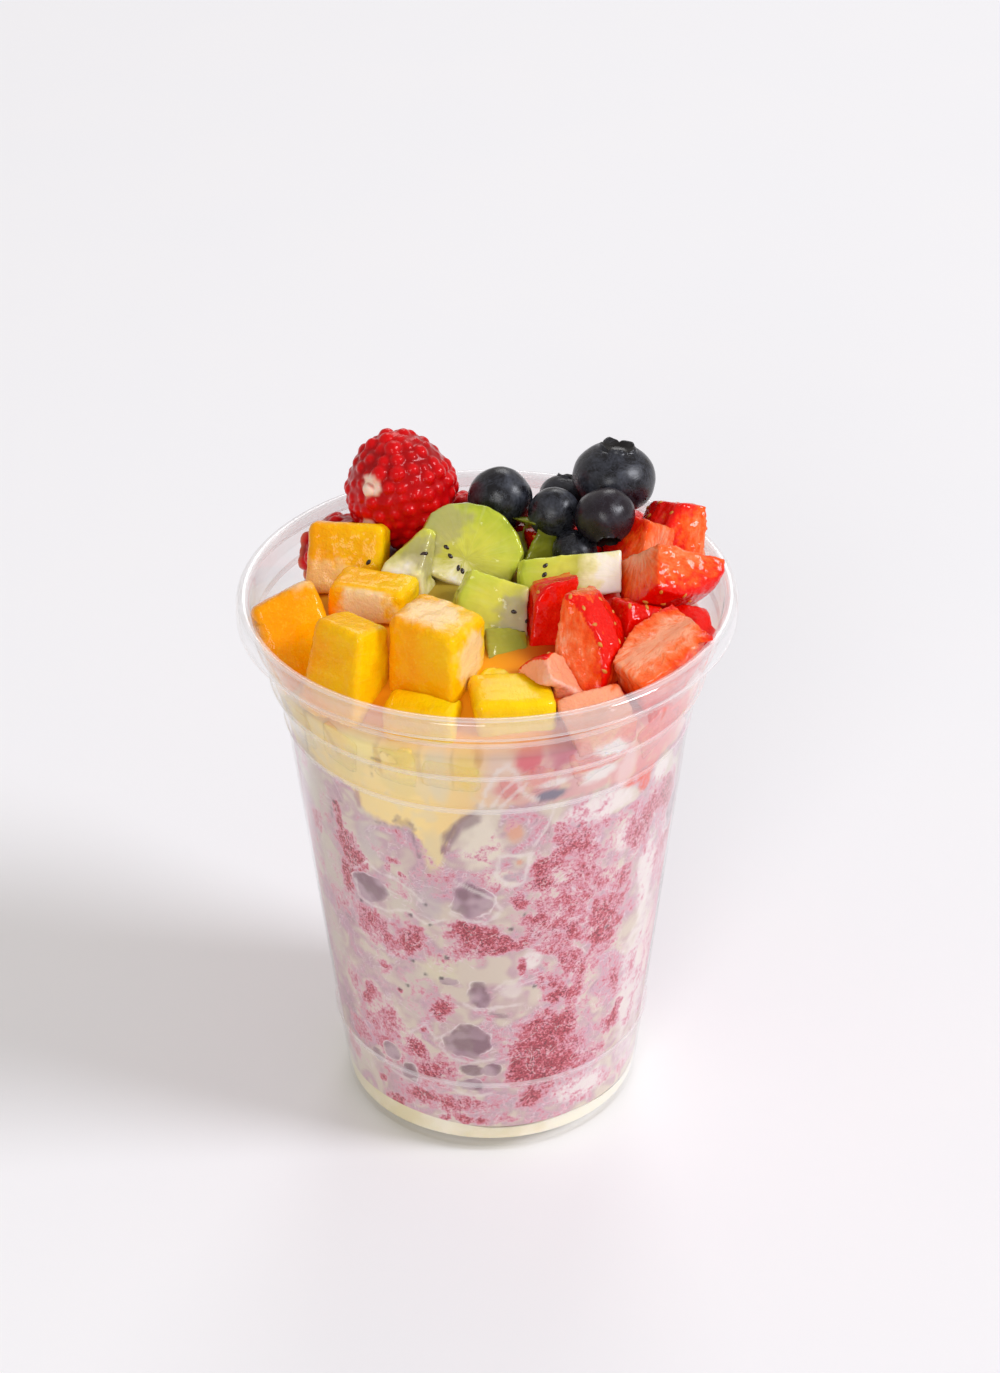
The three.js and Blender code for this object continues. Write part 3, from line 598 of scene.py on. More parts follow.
# Dark specks of skin and seed against the wall: angle and height
SPECKS = (
    (250.3, 66.1), (244.4, 50.2), (248.4, 47.4), (254, 47.2), (238, 41.2), (251.3, 61), (245, 62.4),
    (280.5, 64.5), (226, 61), (256, 53), (241.5, 43), (310, 55), (296, 84.5), (219.5, 83.6), (284.5, 45),
    (276.5, 61),
)


def across_wall(angles, angle, radii):
    """How far each point of the wall is from an angle, along the wall."""
    return np.radians((angles - angle + 180) % 360 - 180) * radii


def wall_spot(place, spot, ragged, low=0.4, high=1.45):
    """How much each point of the wall lies in a spot of an angle, height, half sizes, lean and strength."""
    angles, heights, radii = place
    angle, height, wide, tall, lean, amount = spot
    across = across_wall(angles, angle, radii)
    up = heights - height
    turn = math.radians(lean)
    a = (across * math.cos(turn) + up * math.sin(turn)) / wide
    b = (up * math.cos(turn) - across * math.sin(turn)) / tall
    return amount * smoothstep(high, low, np.hypot(a, b) + ragged)


def wall_line(place, half, route, ragged):
    """How much each point of the wall lies on a thin line through places of angle and height."""
    angles, heights, radii = place
    nearest = np.full_like(heights, 100.0)
    for (first, low), (second, high) in zip(route, route[1:]):
        across = across_wall(angles, first, radii)
        run, rise = math.radians(second - first) * radii, high - low
        along = np.clip((across * run + (heights - low) * rise) / (run ** 2 + rise ** 2 + 1e-9), 0, 1)
        nearest = np.minimum(nearest, np.hypot(across - along * run, heights - low - along * rise))
    return smoothstep(half + 0.35, half - 0.2, nearest + ragged)


def round_table(rows, angles, turned=None):
    """Values at each angle, between the values that a table gives at some angles all the way round."""
    at = [row[0] for row in rows]
    values = [turned(row[1]) if turned else row[1] for row in rows]
    if turned:
        return np.column_stack([np.interp(angles, at, [v[i] for v in values], period=360) for i in range(3)])
    return np.interp(angles, at, values, period=360)


# What stains the top of the cream, juice darkened in the gaps between the fruit as painted shade: middle of
# its
# # patch, its radius and the colour of its juice with that shade
JUICES_AND_SHADE = (
    (-24, -22, 17, "F49A10"), (-4, -30, 12, "F8A810"), (-30, 8, 13, "E09420"),
    (1, -6, 9, "8C8A24"), (12, 8, 8, "5E4A10"), (-12, 6, 7, "A89A40"),
    (20, -24, 11, "C01008"), (32, -8, 15, "A80C08"), (26, 10, 12, "8E0A08"), (30, 24, 12, "A81410"),
    (6, 26, 14, "6E0C18"), (-20, 28, 14, "9A0C14"), (5, 36, 10, "9C1A14"),
)


def wall_view(points, filling):
    """What shows through the wall at each point: its tint, how far it covers the fruit behind, and how much
    pulp, pocket and speck there is."""
    angles, heights = np.degrees(around_axis(points)) % 360, points[:, 2]
    place = (angles, heights, from_axis(points))
    rng = np.random.default_rng(7)
    coarse, fine = waves(points, 4.5, 1, 3), waves(points, 1.6, 2, 2)
    flow = np.column_stack([waves(points, 9, 11 + i, 2) for i in range(3)])
    folded = points * (1, 1, 0.8) + 7 * flow
    clouds, streaks = waves(folded, 9, 3, 3), waves(folded, 4, 4, 2)

    # Stained cream below, and the juice of the fruit above its hanging edge
    stained = np.clip(0.55 + 1.3 * clouds, 0, 1)
    tint = blend(tuple(filling.cream), tuple(filling.veil), stained)
    tint = blend(tint, tuple(filling.lilac), np.clip(0.3 + 1.5 * streaks, 0, 1) * stained)
    above = smoothstep(-0.7, 0.9, heights - round_table(GOLD_EDGE, angles) - 1.1 * coarse - 0.5 * fine)
    upper = round_table(UPPER_TINTS, angles, linear)
    upper = blend(upper, linear(TINTS["pale"]), np.clip(1.4 * streaks, 0, 0.5))
    tint = blend(tint, upper, above)
    cover = np.interp(heights, [92, 100, 106, 111], [1, 0.85, 0.7, 0.35])

    ragged = 0.3 * coarse + 0.16 * fine
    for name, *spot in PATCHES:
        amount = wall_spot(place, spot, ragged, low=0.55, high=1.25)
        tint = blend(tint, linear(TINTS[name]), amount)
        cover = np.maximum(cover, amount)
    calm = 0.42 * waves(points, 3.2, 8, 1) + 0.12 * fine
    pocket = np.zeros_like(heights)
    juice = np.clip(0.5 + 1.3 * waves(points, 4, 9, 2), 0, 1)
    for *spot, dark in POCKETS + hidden_side(rng, count=8, low=14, high=84):
        inside = wall_spot(place, (*spot, 1.0), calm, low=0.45, high=1.4)
        deep = np.clip(dark + 1.3 * (juice - 0.5) + 0.09 * (heights - spot[1]), 0, 1)
        tint = blend(tint, blend(tuple(filling.pocket), tuple(filling.pocket_dark), deep),
                     0.8 * smoothstep(0.4, 0.72, inside))
        pocket = np.maximum(pocket, inside)

    pulp = np.zeros_like(heights)
    rough = 0.38 * coarse + 0.2 * fine
    for spot in PULP + hidden_side(rng, count=64, low=10, high=84):
        pulp = 1 - (1 - pulp) * (1 - wall_spot(place, spot, rough))
    thin = 0.5 + 0.5 * np.cos(np.radians(angles - 300))
    pulp = np.maximum(pulp, 0.3 * stained * (0.35 + thin) * np.clip(0.6 + 1.2 * clouds, 0, 1))
    pulp *= (1 - above) * (1 - smoothstep(0.3, 0.5, pocket))
    lined = np.zeros_like(heights)
    for name, half, route in LINES:
        amount = 0.6 * wall_line(place, half, route, 0.35 * fine)
        tint = blend(tint, linear(TINTS[name]), amount)
        lined = np.maximum(lined, amount)
    speck = np.zeros_like(heights)
    for angle, height in SPECKS:
        across = across_wall(angles, angle, place[2])
        away = np.hypot(across, heights - height) + 0.2 * fine
        speck = np.maximum(speck, 0.8 * smoothstep(0.6, 0.25, away))
    return tint, np.maximum(cover, lined), pulp * (1 - lined), pocket * (1 - above), speck


def paint_filling(mesh, filling):
    """Stores what the wall shows of the cream, and the juice that lies on top of it, darkened in the gaps
    between the fruit as painted shade.
    """
    points, normals = points_of(mesh), normals_of(mesh)
    tint, _, pulp, pocket, speck = wall_view(points, filling)
    top = smoothstep(0.45, 0.8, normals[:, 2]) * (points[:, 2] > filling.cream_edge / MM - 1)
    juice_and_shade, total = np.zeros((len(points), 3)), np.full(len(points), 1e-6)
    for x, y, wide, code in JUICES_AND_SHADE:
        weight = np.exp(-((points[:, 0] - x) ** 2 + (points[:, 1] - y) ** 2) / (wide * wide))
        juice_and_shade += weight[:, None] * np.array(linear(code))
        total += weight
    # The juice and painted shade on top end short of the wall
    paint(mesh, "ground", blend(tint, juice_and_shade / total[:, None], top * smoothstep(43, 40, from_axis(points))))
    paint(mesh, "pulp", np.clip(pulp * (1 - top), 0, 1))
    paint(mesh, "pocket", pocket)
    paint(mesh, "speck", speck)


def look_filling(filling):
    """Mashed berries folded into thick cream: matt and milky, grainy where pulp touches the wall, with thin
    paler threads."""
    look, tree = blank("cream_and_pulp")
    place = add(tree, "ShaderNodeTexCoord").outputs["Object"]
    ground = add(tree, "ShaderNodeAttribute", attribute_name="ground").outputs["Vector"]
    pulp, pocket, speck = (
        add(tree, "ShaderNodeAttribute", attribute_name=name).outputs["Fac"]
        for name in ("pulp", "pocket", "speck")
    )
    # Four noises: the size of their swells in grains, then detail, roughness and distortion
    noises = ((5, 2, 0.5, 0), (1.6, 3, 0.7, 0), (0.8, 1, 0.5, 0), (13, 4, 0.6, 0.8))
    clots, grain, fine, curls = (
        add(tree, "ShaderNodeTexNoise", {
            "Vector": place, "Scale": 1 / (size * filling.grain), "Detail": detail, "Roughness": rough,
            "Distortion": bent,
        })
        for size, detail, rough, bent in noises
    )
    uneven = add(tree, "ShaderNodeMath", {0: clots, 1: 1.0, 2: -0.5}, operation="MULTIPLY_ADD")
    uneven = add(tree, "ShaderNodeMath", {0: grain, 1: 1.7, 2: uneven}, operation="MULTIPLY_ADD")
    grained = add(tree, "ShaderNodeMath", {0: uneven, 1: -0.85}, operation="ADD")
    ragged = add(tree, "ShaderNodeMath", {0: pulp, 1: grained}, operation="ADD")
    amount = add(tree, "ShaderNodeMapRange", {0: ragged, 1: 0.1, 2: 0.55})
    allowed = add(tree, "ShaderNodeMapRange", {0: pulp, 1: 0.02, 2: 0.34})
    shown = add(tree, "ShaderNodeMath", {0: amount, 1: allowed}, operation="MULTIPLY")
    flesh = add(tree, "ShaderNodeValToRGB", {0: ragged},
                stops=((0.2, tuple(filling.halo)), (1.0, linear("B03A4A")), (0.46, tuple(filling.pulp_pale)),
                       (0.72, linear("D07A8A")), (0.94, tuple(filling.pulp))))
    dense = add(tree, "ShaderNodeMapRange", {0: pulp, 1: 0.45, 2: 0.95})
    dots = add(tree, "ShaderNodeMapRange", {0: fine, 1: 0.54, 2: 0.66})
    dark = add(tree, "ShaderNodeMath", {0: dots, 1: dense}, operation="MULTIPLY")
    grains = add(tree, "ShaderNodeMix", {0: dark, 6: flesh, 7: tuple(filling.pulp_dark)}, data_type="RGBA")
    flecks = add(tree, "ShaderNodeMapRange", {0: fine, 1: 0.4, 2: 0.28, 4: 0.5})
    flecked = add(tree, "ShaderNodeMix", {0: flecks, 6: grains, 7: linear("ECC4CC")}, data_type="RGBA")
    body = add(tree, "ShaderNodeMix", {0: shown, 6: ground, 7: flecked}, data_type="RGBA")
    # Cream draws out into threads where the layers of noise cross their middle value
    middle = add(tree, "ShaderNodeMath", {0: curls, 1: 0.5}, operation="SUBTRACT")
    near = add(tree, "ShaderNodeMath", {0: middle}, operation="ABSOLUTE")
    thread = add(tree, "ShaderNodeMapRange", {0: near, 1: 0.012, 2: 0.003, 4: 0.45})
    where = add(tree, "ShaderNodeMapRange", {0: pulp, 1: 0.02, 2: 0.15})
    drawn = add(tree, "ShaderNodeMath", {0: thread, 1: where}, operation="MULTIPLY")
    threaded = add(tree, "ShaderNodeMix", {0: drawn, 6: body, 7: linear("F0E0E2")}, data_type="RGBA")
    # A pocket has a thin pale edge that comes and goes
    edge = add(tree, "ShaderNodeValToRGB", {0: pocket},
               stops=((0.0, 0.0), (0.52, 0.0), (0.34, 0.0), (0.42, 0.8)))
    broken = add(tree, "ShaderNodeMapRange", {0: clots, 1: 0.42, 2: 0.58})
    outline = add(tree, "ShaderNodeMath", {0: edge, 1: broken}, operation="MULTIPLY")
    rimmed = add(tree, "ShaderNodeMix", {0: outline, 6: threaded, 7: linear("EEE0E0")}, data_type="RGBA")
    dotted = add(tree, "ShaderNodeMix", {0: speck, 6: rimmed, 7: linear("33282E")}, data_type="RGBA")
    bump = add(tree, "ShaderNodeBump", {"Height": grain, "Strength": 0.2, "Distance": 0.2 * MM})
    surface = add(tree, "ShaderNodeBsdfPrincipled", {
        "Base Color": dotted, "Roughness": 0.5, "IOR": 1.35, "Specular IOR Level": 0.3,
        "Subsurface Weight": 0.15, "Subsurface Radius": (1.0, 0.7, 0.6), "Subsurface Scale": 0.4 * MM,
        "Normal": bump,
    })
    return finished(look, surface)


def hidden_side(rng, count, low, high):
    """Spots for the side away from the front, drawn by chance in the same sizes."""
    return tuple(
        (rng.uniform(*HIDDEN) % 360, rng.uniform(low, high), rng.uniform(2, 6), rng.uniform(2, 8),
         rng.uniform(-35, 35), rng.uniform(0.5, 1)) for _ in range(count)
    )


def look_cream(name, tint, stain):
    """Whipped cream thinned by juice: smooth, moist and milky, with faint clouds of its stain."""
    look, tree = blank(name)
    place = add(tree, "ShaderNodeTexCoord").outputs["Object"]
    side = add(tree, "ShaderNodeSeparateXYZ", {0: place})
    clouds = add(tree, "ShaderNodeTexNoise", {"Vector": place, "Scale": 1 / (8 * MM), "Detail": 4.0})
    fine = add(tree, "ShaderNodeTexNoise", {"Vector": place, "Scale": 1 / (1.2 * MM), "Detail": 2.0})
    # More of the juice has run down on the mango's side
    lean = add(tree, "ShaderNodeMapRange", {0: side.outputs["X"], 1: 22 * MM, 2: -26 * MM, 3: -0.2, 4: 0.3})
    juice = add(tree, "ShaderNodeMath", {0: clouds, 1: lean}, operation="ADD")
    amount = add(tree, "ShaderNodeMapRange", {0: juice, 1: 0.4, 2: 0.8})
    mixed = add(tree, "ShaderNodeMix", {0: amount, 6: tint, 7: stain}, data_type="RGBA")
    bump = add(tree, "ShaderNodeBump", {"Height": fine, "Strength": 0.15, "Distance": 0.2 * MM})
    surface = add(tree, "ShaderNodeBsdfPrincipled", {
        "Base Color": mixed, "Roughness": 0.4, "IOR": 1.35, "Subsurface Weight": 0.5,
        "Subsurface Radius": (1.0, 0.8, 0.5), "Subsurface Scale": 1.2 * MM, "Normal": bump,
    })
    return finished(look, surface)


def tongue_drop(angles):
    """How far the cream hangs into the swirl at each angle, in mm."""
    angles = np.asarray(angles, dtype=float) % 360
    return sum(drop * np.exp(-((angles - at) ** 2) / (2 * wide ** 2)) for at, wide, drop in TONGUES)


def base_wave(angles):
    """How much the bottom cream's edge rises at each angle, in mm."""
    turn = np.radians(angles)
    return 0.9 * np.sin(2 * turn) + 0.6 * np.sin(5 * turn)


def wall_column(cup, low, high, step):
    """Points that climb the inside of the wall, a little way into it, in metres."""
    count = max(1, round((high - low) / step))
    heights = [low + (high - low) * i / count for i in range(count + 1)]
    return [(inner_radius(cup, z) + INTO_WALL * MM, z) for z in heights]


def bend_levels(mesh, cup, low, high, low_edge, high_edge):
    """Moves a layer's lower and upper edge by heights that depend on the angle, and the wall between them."""
    points = points_of(mesh)
    angles = np.degrees(around_axis(points))
    radii = from_axis(points)
    along = np.clip((points[:, 2] - low) / (high - low), 0, 1)
    near = np.clip(radii / WAVE_RADIUS, 0, 1) ** 4
    points[:, 2] += near * ((1 - along) * low_edge(angles) + along ** 3 * high_edge(angles))
    outer = radii > inner_radii(cup, points[:, 2]) - FITTED
    wanted = inner_radii(cup, points[:, 2]) + INTO_WALL
    scale = np.where(outer, wanted / np.maximum(radii, 1e-6), 1)
    points[:, :2] *= scale[:, None]
    move_points(mesh, points)


class PARFAIT_OT_filling(bpy.types.Operator):
    """Build the bottom cream, the berry swirl and the upper cream, out to the cup's wall"""

    bl_idname = "parfait.filling"
    bl_label = "Filling"

    def execute(self, context):
        cup, filling = context.scene.parfait_cup, context.scene.parfait_filling
        base, swirl, edge = filling.base_top, filling.swirl_top, filling.cream_edge
        floor = cup.recess + cup.wall - INTO_WALL * MM
        foot = cup.foot_radius - cup.foot_corner - FLOOR_INSET

        # The bottom cream follows the wall's rounding at the foot
        start = cup.foot_corner + FLOOR_RISE
        wall = wall_column(cup, start, base, step=0.5 * MM)
        bm = spun([(0, floor), (foot, floor), *wall, (0, base)], steps=240)
        look = look_cream("bottom_cream", tuple(filling.base_cream), tuple(filling.base_stain))
        piece = place_piece("bottom_cream", bm, [look], ["cream_base"], sharp=40)
        points = points_of(piece.data)
        rise = base_wave(np.degrees(around_axis(points)))
        high = points[:, 2] > base / MM - 0.3
        points[:, 2] += np.where(high, rise * from_axis(points) / BOTTOM_WAVE_RADIUS, 0)
        move_points(piece.data, points)

        look = look_filling(filling)
        wall = wall_column(cup, base, swirl, step=0.45 * MM)
        bm = spun([(0, base), (END_RING, base), *wall, (END_RING, swirl), (0, swirl)], steps=480)
        piece = place_piece("berry_swirl_body", bm, [look], ["berry_swirl"], sharp=40)
        bend_levels(piece.data, cup, base / MM, swirl / MM, base_wave, lambda a: -tongue_drop(a))
        paint_filling(piece.data, filling)

        reach = inner_radius(cup, edge) + INTO_WALL * MM
        surface = []
        rows = 60
        for i in range(rows):
            r = reach * (1 - i / rows)
            surface.append((r, edge + filling.cream_crown * math.sqrt(1 - min(1, r / DOME_RADIUS) ** 2)))
        wall = wall_column(cup, swirl, edge, step=0.45 * MM)
        outline = [(0, swirl), (END_RING, swirl), *wall, *surface[1:], (0, edge + filling.cream_crown)]
        bm = spun(outline, steps=480)
        piece = place_piece("upper_cream", bm, [look], ["cream_top"], sharp=40)
        bend_levels(piece.data, cup, swirl / MM, edge / MM, lambda a: -tongue_drop(a), lambda a: 0 * a)
        paint_filling(piece.data, filling)
        return {"FINISHED"}


# Corners cut off the copied pieces: a point of each cut and the way that the cut faces
TRIMS = {
    "kiwi_left": (((-16.5, 7.7, 121.7), (-0.67, 0.35, 0.66)),),
}

# Mango blocks: middle, then turn, tilt and roll in degrees, and how bright the flesh is, from about 0 to 1
MANGO = {
    "front": ((-9.5, -24.3, 117), -28, -5, 0, 0.45),
    "front_left": ((-26.2, -24.5, 114), -38, -14, 0, 0.5),
    "mid_left": ((-22, -4, 117.5), -20, -4, 0, 0.5),
    "left": ((-36.8, -10, 111.8), 12, -32, -20, 0.0),
    "back_left": ((-27.5, 13, 116), -8, -30, 0, 0.4),
    "front_low": ((4.8, -33, 108.6), 8, 0, 0, 0.95),
    "low_middle": ((-1.5, -24, 108), -35, 0, 0, 1.1),
    "front_edge": ((-12, -35, 107.5), -14, 0, 0, 0.7),
    "wall_1": ((-34.5, -21, 99.5), -50, 0, 0, 0.8),
    "wall_2": ((-26.8, -30, 100.5), -38, 0, 12, 0.8),
    "wall_3": ((-16.5, -36, 101), -22, 0, 0, 0.9),
    "wall_4": ((-6.4, -38, 101), -4, 0, 0, 0.9),
}

# Strawberry chunks: middle, the way of the berry's tip, the way of its skin, the width from the core, and how
# much paler than usual the cut is
STRAWBERRY = {
    "front": ((20.6, -20, 116.5), (0.05, 0.35, 0.95), (0.85, -0.5, 0), 11, 0.4),
    "front_left": ((12, -11.5, 117), (0, 0.4, 0.9), (-0.95, -0.2, 0.1), 8.5, -0.15),
    "right": ((36, -1.5, 118), (0.8, 0.3, -0.45), (0.1, -0.7, -0.7), 11, 0.25),
    "right_front": ((31.8, -21.5, 113.4), (0.7, 0.6, 0.1), (-0.5, -0.2, -0.8), 9, 0.1),
    "right_back": ((34.6, 17, 120), (0.1, 0.5, 0.9), (-0.85, -0.5, 0.2), 14.5, 0.2),
    "right_mid": ((31, 10.5, 119.5), (0.3, 0.4, 0.8), (-0.6, 0.2, -0.6), 8, 0),
    "front_low": ((12.5, -27, 111.5), (-0.6, -0.4, 0.5), (-0.6, 0.3, 0.75), 8, 0.95),
    "front_edge": ((20.5, -34, 108), (0.9, 0.4, 0.2), (-0.2, 0.6, -0.7), 10, 0.5),
    "low_right": ((27.7, -11, 112), (0.2, 0.3, 0.9), (0.5, -0.8, 0.3), 8, -0.25),
    "low_middle": ((26.8, 1, 114), (0.9, 0.2, 0.3), (-0.1, -0.5, 0.8), 11, -0.25),
    "edge": ((37, -10.5, 112.5), (1, 0.1, 0.1), (0.1, -0.3, 0.9), 9, -0.2),
    "wall_1": ((7, -37, 100.5), (1, 0.1, 0.1), (0, -1, 0.1), 9, 0.1),
    "wall_2": ((19, -33, 102), (0.8, 0.6, 0.4), (0.5, -0.8, 0.1), 9, 0.1),
    "wall_3": ((30.5, -24.5, 102), (0.4, 0.8, 0.5), (0.8, -0.5, 0.1), 9, 0.1),
    "wall_4": ((38, -11.5, 101), (0.3, 0.6, 0.8), (0.9, -0.2, 0.1), 8, 0),
    "back": ((6, 37, 109), (1, 0.2, 0.3), (0, 0.5, 0.9), 11, 0),
    "under_middle": ((14, 22, 114), (0.9, 0.4, 0.1), (-0.2, 0.2, 0.9), 10, -0.1),
    "under_right": ((27.5, 24, 113.5), (0.5, -0.8, 0.1), (0.1, 0.2, 0.9), 12, 0),
}

# In mm, a whole strawberry's radius and length, how far from its axis the inner cut is, how far from the
# cup's axis its seeds are still set, and a seed's length, width and thickness
BERRY_RADIUS = 13
BERRY_LENGTH = 30
BERRY_CORE = 1
SEEDED_RADIUS = 40
ACHENE_SIZE = (1.3, 0.8, 0.6)

# Kiwi chunks: middle, the way of the fruit's axis, the way of its skin, the radii of skin and inner cut, how
# # much further from the core than its cut says the flesh looks, and how much painted shade darkens it where
# it
# # lies in shadow
KIWI = {
    "core": ((16.2, 0.5, 118.3), (0.1, -0.75, 0.65), (-1, 0, 0), 21, 0, -1.5, 0),
    "middle": ((1, -8, 116.5), (0.1, -0.8, 0.6), (-0.93, 0, 0.36), 21, 5, -2, 0),
    "back": ((-3.2, 11.5, 119), (0.05, -0.75, 0.6), (0.35, 0.3, 0.8), 12, -6, 9, 0),
    "left": ((-15, 5, 117.5), (-0.3, -0.5, 0.8), (0.3, 0.8, 0.6), 21, 3, -5, 0),
    "low": ((5.2, -16.5, 111.5), (0.2, -0.5, 0.8), (1, 0, 0.1), 21, 8, 3, 0.5),
    "shaded": ((8.5, 14.5, 116.5), (0.1, -0.9, 0.3), (0.2, 0, 1), 21, 7, 3, 0.6),
}

# In mm, a whole kiwi's radius, and a seed's length, width and thickness
KIWI_RADIUS = 21
KIWI_SEED_SIZE = (1.7, 1.0, 0.8)

# Blueberries: middle, the way of the crown, radius, height as a share of the width, and the skin's purple
BLUEBERRY = {
    "left": ((2.7, 24.4, 123), (0.3, 0.95, 0.05), 6.5, 0.95, 0),
    "top": ((25.6, 27.5, 126), (0.12, 0.15, 1), 8.4, 0.84, 0),
    "middle": ((13.4, 17, 123.8), (-0.3, 0.95, 0.1), 5.2, 0.95, 0),
    "right": ((23.3, 12.2, 125.6), (0.1, -0.75, -0.65), 5.9, 0.94, 0.7),
    "small": ((17.4, 10.8, 118.4), (0.7, 0.3, 0.6), 4.7, 0.9, 0),
    "hidden": ((16, 33.5, 118.2), (0.2, 0.4, 0.9), 5.4, 0.86, 0.2),
}

# Teeth of a blueberry's crown
TEETH = 5

# The radius of a drupelet, and in its radii how far its middle is inside the berry's surface, how thick the
# core is outside those middles, and how far apart rows and neighbours are
DRUPELET = 1.85
SUNK = 0.95
CORE = 0.55
ROW_GAP = 1.36
NEIGHBOUR_GAP = 1.5

# Raspberries: middle, the way of the tip, radius and length
RASPBERRY = {
    "top": ((-17.2, 27, 124.2), (-0.12, 0.12, 1), 11.5, 25),
    "left": ((-29, 26.5, 109), (-0.6, -0.5, 0.5), 9, 19),
    "back": ((-4, 32, 111), (0.3, 0.2, 0.9), 8.6, 18),
}

# Cream that clings to the fruit: node, middle, radius, the way that the covered side faces and the amount
SMEARS = (
    ("mango_front", (-10, -22.5, 124.7), 6.5, (0.1, 0, 1), 0.7),
    ("mango_front", (-2.6, -28, 118), 5.5, (0.88, -0.46, 0.06), 0.75),
    ("mango_mid_left", (-23.5, -8.6, 117.2), 6, (-0.25, -0.96, 0.1), 0.85),
    ("mango_left", (-37, -6, 123.5), 4.5, (0, -0.2, 0.95), 0.6),
    ("mango_back_left", (-31.5, 7.5, 114), 6, (-0.17, -0.85, 0.49), 0.45),
    ("kiwi_back", (-8, 11.5, 126), 5.5, (0.05, -0.78, 0.62), 0.6),
    ("kiwi_back", (-10.8, 8, 122.5), 3, (0.05, -0.78, 0.62), 0.6),
    ("kiwi_left", (-12, 4, 121.5), 5, (0.4, -0.5, 0.6), 0.7),
    ("kiwi_middle", (6.5, -13.5, 117.5), 6, (0.1, -0.8, 0.6), 0.85),
    ("raspberry_top", (-22.6, 19.2, 129), 2.6, (-0.7, -0.72, 0.02), 1.0),
    ("raspberry_top", (-23.2, 18.6, 120.5), 2, (-0.64, -0.71, -0.3), 0.8),
    ("strawberry_low_middle", (27, -3, 119), 3, (0, -0.3, 0.9), 0.7),
    ("strawberry_front_low", (14, -31, 114), 5, (0, -0.8, 0.4), 0.6),
)

# How far apart the noise of one piece is from the next, and the radius at which a fruit's angles are measured
APART = 40
ROLL_RADIUS = 9


def seat(at, facing, towards):
    """The matrix of a piece whose local Z goes to one direction and whose local X goes towards another."""
    z = Vector(facing).normalized()
    x = Vector(towards)
    x = (x - z * x.dot(z)).normalized()
    turned = Matrix((x, z.cross(x), z)).transposed().to_4x4()
    return Matrix.Translation(at) @ turned


def laid(at, turn, tilt, roll):
    """The matrix of a block that is rolled about Y, tilted about X and turned about Z, in degrees."""
    turned = (
        Matrix.Rotation(math.radians(turn), 4, "Z")
        @ Matrix.Rotation(math.radians(tilt), 4, "X")
        @ Matrix.Rotation(math.radians(roll), 4, "Y")
    )
    return Matrix.Translation(at) @ turned


def local(points, matrix):
    """The points in the piece's own axes."""
    back = np.array(matrix.inverted())
    return points @ back[:3, :3].T + back[:3, 3]


def rolled_out(own):
    """Places by the way round a fruit's axis, along it and out from it, so that threads run outwards."""
    return np.column_stack((around_axis(own) * ROLL_RADIUS, own[:, 2], from_axis(own)))


def press_to_wall(points, cup):
    """Moves what lies against the cup's wall a little way into it."""
    radii = from_axis(points)
    wall = inner_radii(cup, points[:, 2])
    near = smoothstep(-1.4, -0.5, radii - wall) * (points[:, 2] < CUP_TOP / MM)
    wanted = wall + INTO_WALL + FRUIT_FURTHER
    scale = 1 + near * (wanted / np.maximum(radii, 1e-6) - 1)
    moved = points.copy()
    moved[:, :2] *= scale[:, None]
    return moved, near


def smear_amount(node, points, normals):
    """How much clinging cream covers each corner of a piece."""
    amount = np.zeros(len(points))
    for name, middle, radius, facing, most in SMEARS:
        if name != node:
            continue
        away = np.linalg.norm(points - np.array(middle), axis=1) / radius
        facing = np.array(facing) / np.linalg.norm(facing)
        ragged = 0.35 * waves(points, 2.2, 5, 2)
        covered = smoothstep(1.1, 0.55, away + ragged) * smoothstep(0.4, 0.8, normals @ facing)
        amount = np.maximum(amount, most * covered)
    return amount


def dress(node, piece, settings, rough, seed):
    """Gives a copied piece its uneven cut surface, presses it to the wall and stores its clinging cream."""
    mesh = piece.data
    points, normals = points_of(mesh), normals_of(mesh)
    uneven = rough * (waves(points, 2.6, seed) + 0.5 * waves(points, 0.9, seed + 1))
    points = points + normals * uneven[:, None]
    smear = smear_amount(node, points, normals)
    points = points + normals * (0.25 * smear)[:, None]
    points, wall = press_to_wall(points, settings.parfait_cup)
    move_points(mesh, points)
    store_cover(mesh, points, smear, wall, settings.parfait_filling)
    return points


def store_cover(mesh, points, smear, wall, filling):
    """Stores the cream that clings to a piece, and what lies between it and the wall."""
    tint, film = np.zeros((len(points), 3)), np.zeros(len(points))
    if wall.max() > 0:
        tint, cover = wall_view(points, filling)[:2]
        film = wall * cover
    paint(mesh, "smear", smear)
    paint(mesh, "film", film)
    paint(mesh, "film_tint", tint)


def cut_pieces(kind, table, look, grid, rounds, rough, first):
    """Builds the pieces of one cut fruit in turn: for each its number, its mesh, its points and its row."""
    for seed, (place, row) in enumerate(table.items()):
        node = f"{kind}_{place}"
        piece = place_piece(f"{node}_cut", packed_copy(node, grid, rounds), [look], [node])
        yield seed, piece.data, dress(node, piece, bpy.context.scene, rough, first + seed), row


def coated(tree, base, coat):
    """The base colour under clinging cream and, against the wall, under what the wall shows."""
    smear = add(tree, "ShaderNodeAttribute", attribute_name="smear").outputs["Fac"]
    wall = add(tree, "ShaderNodeAttribute", attribute_name="film").outputs["Fac"]
    tint = add(tree, "ShaderNodeAttribute", attribute_name="film_tint").outputs["Vector"]
    first = add(tree, "ShaderNodeMix", {0: smear, 6: base, 7: coat}, data_type="RGBA")
    return add(tree, "ShaderNodeMix", {0: wall, 6: first, 7: tint}, data_type="RGBA")


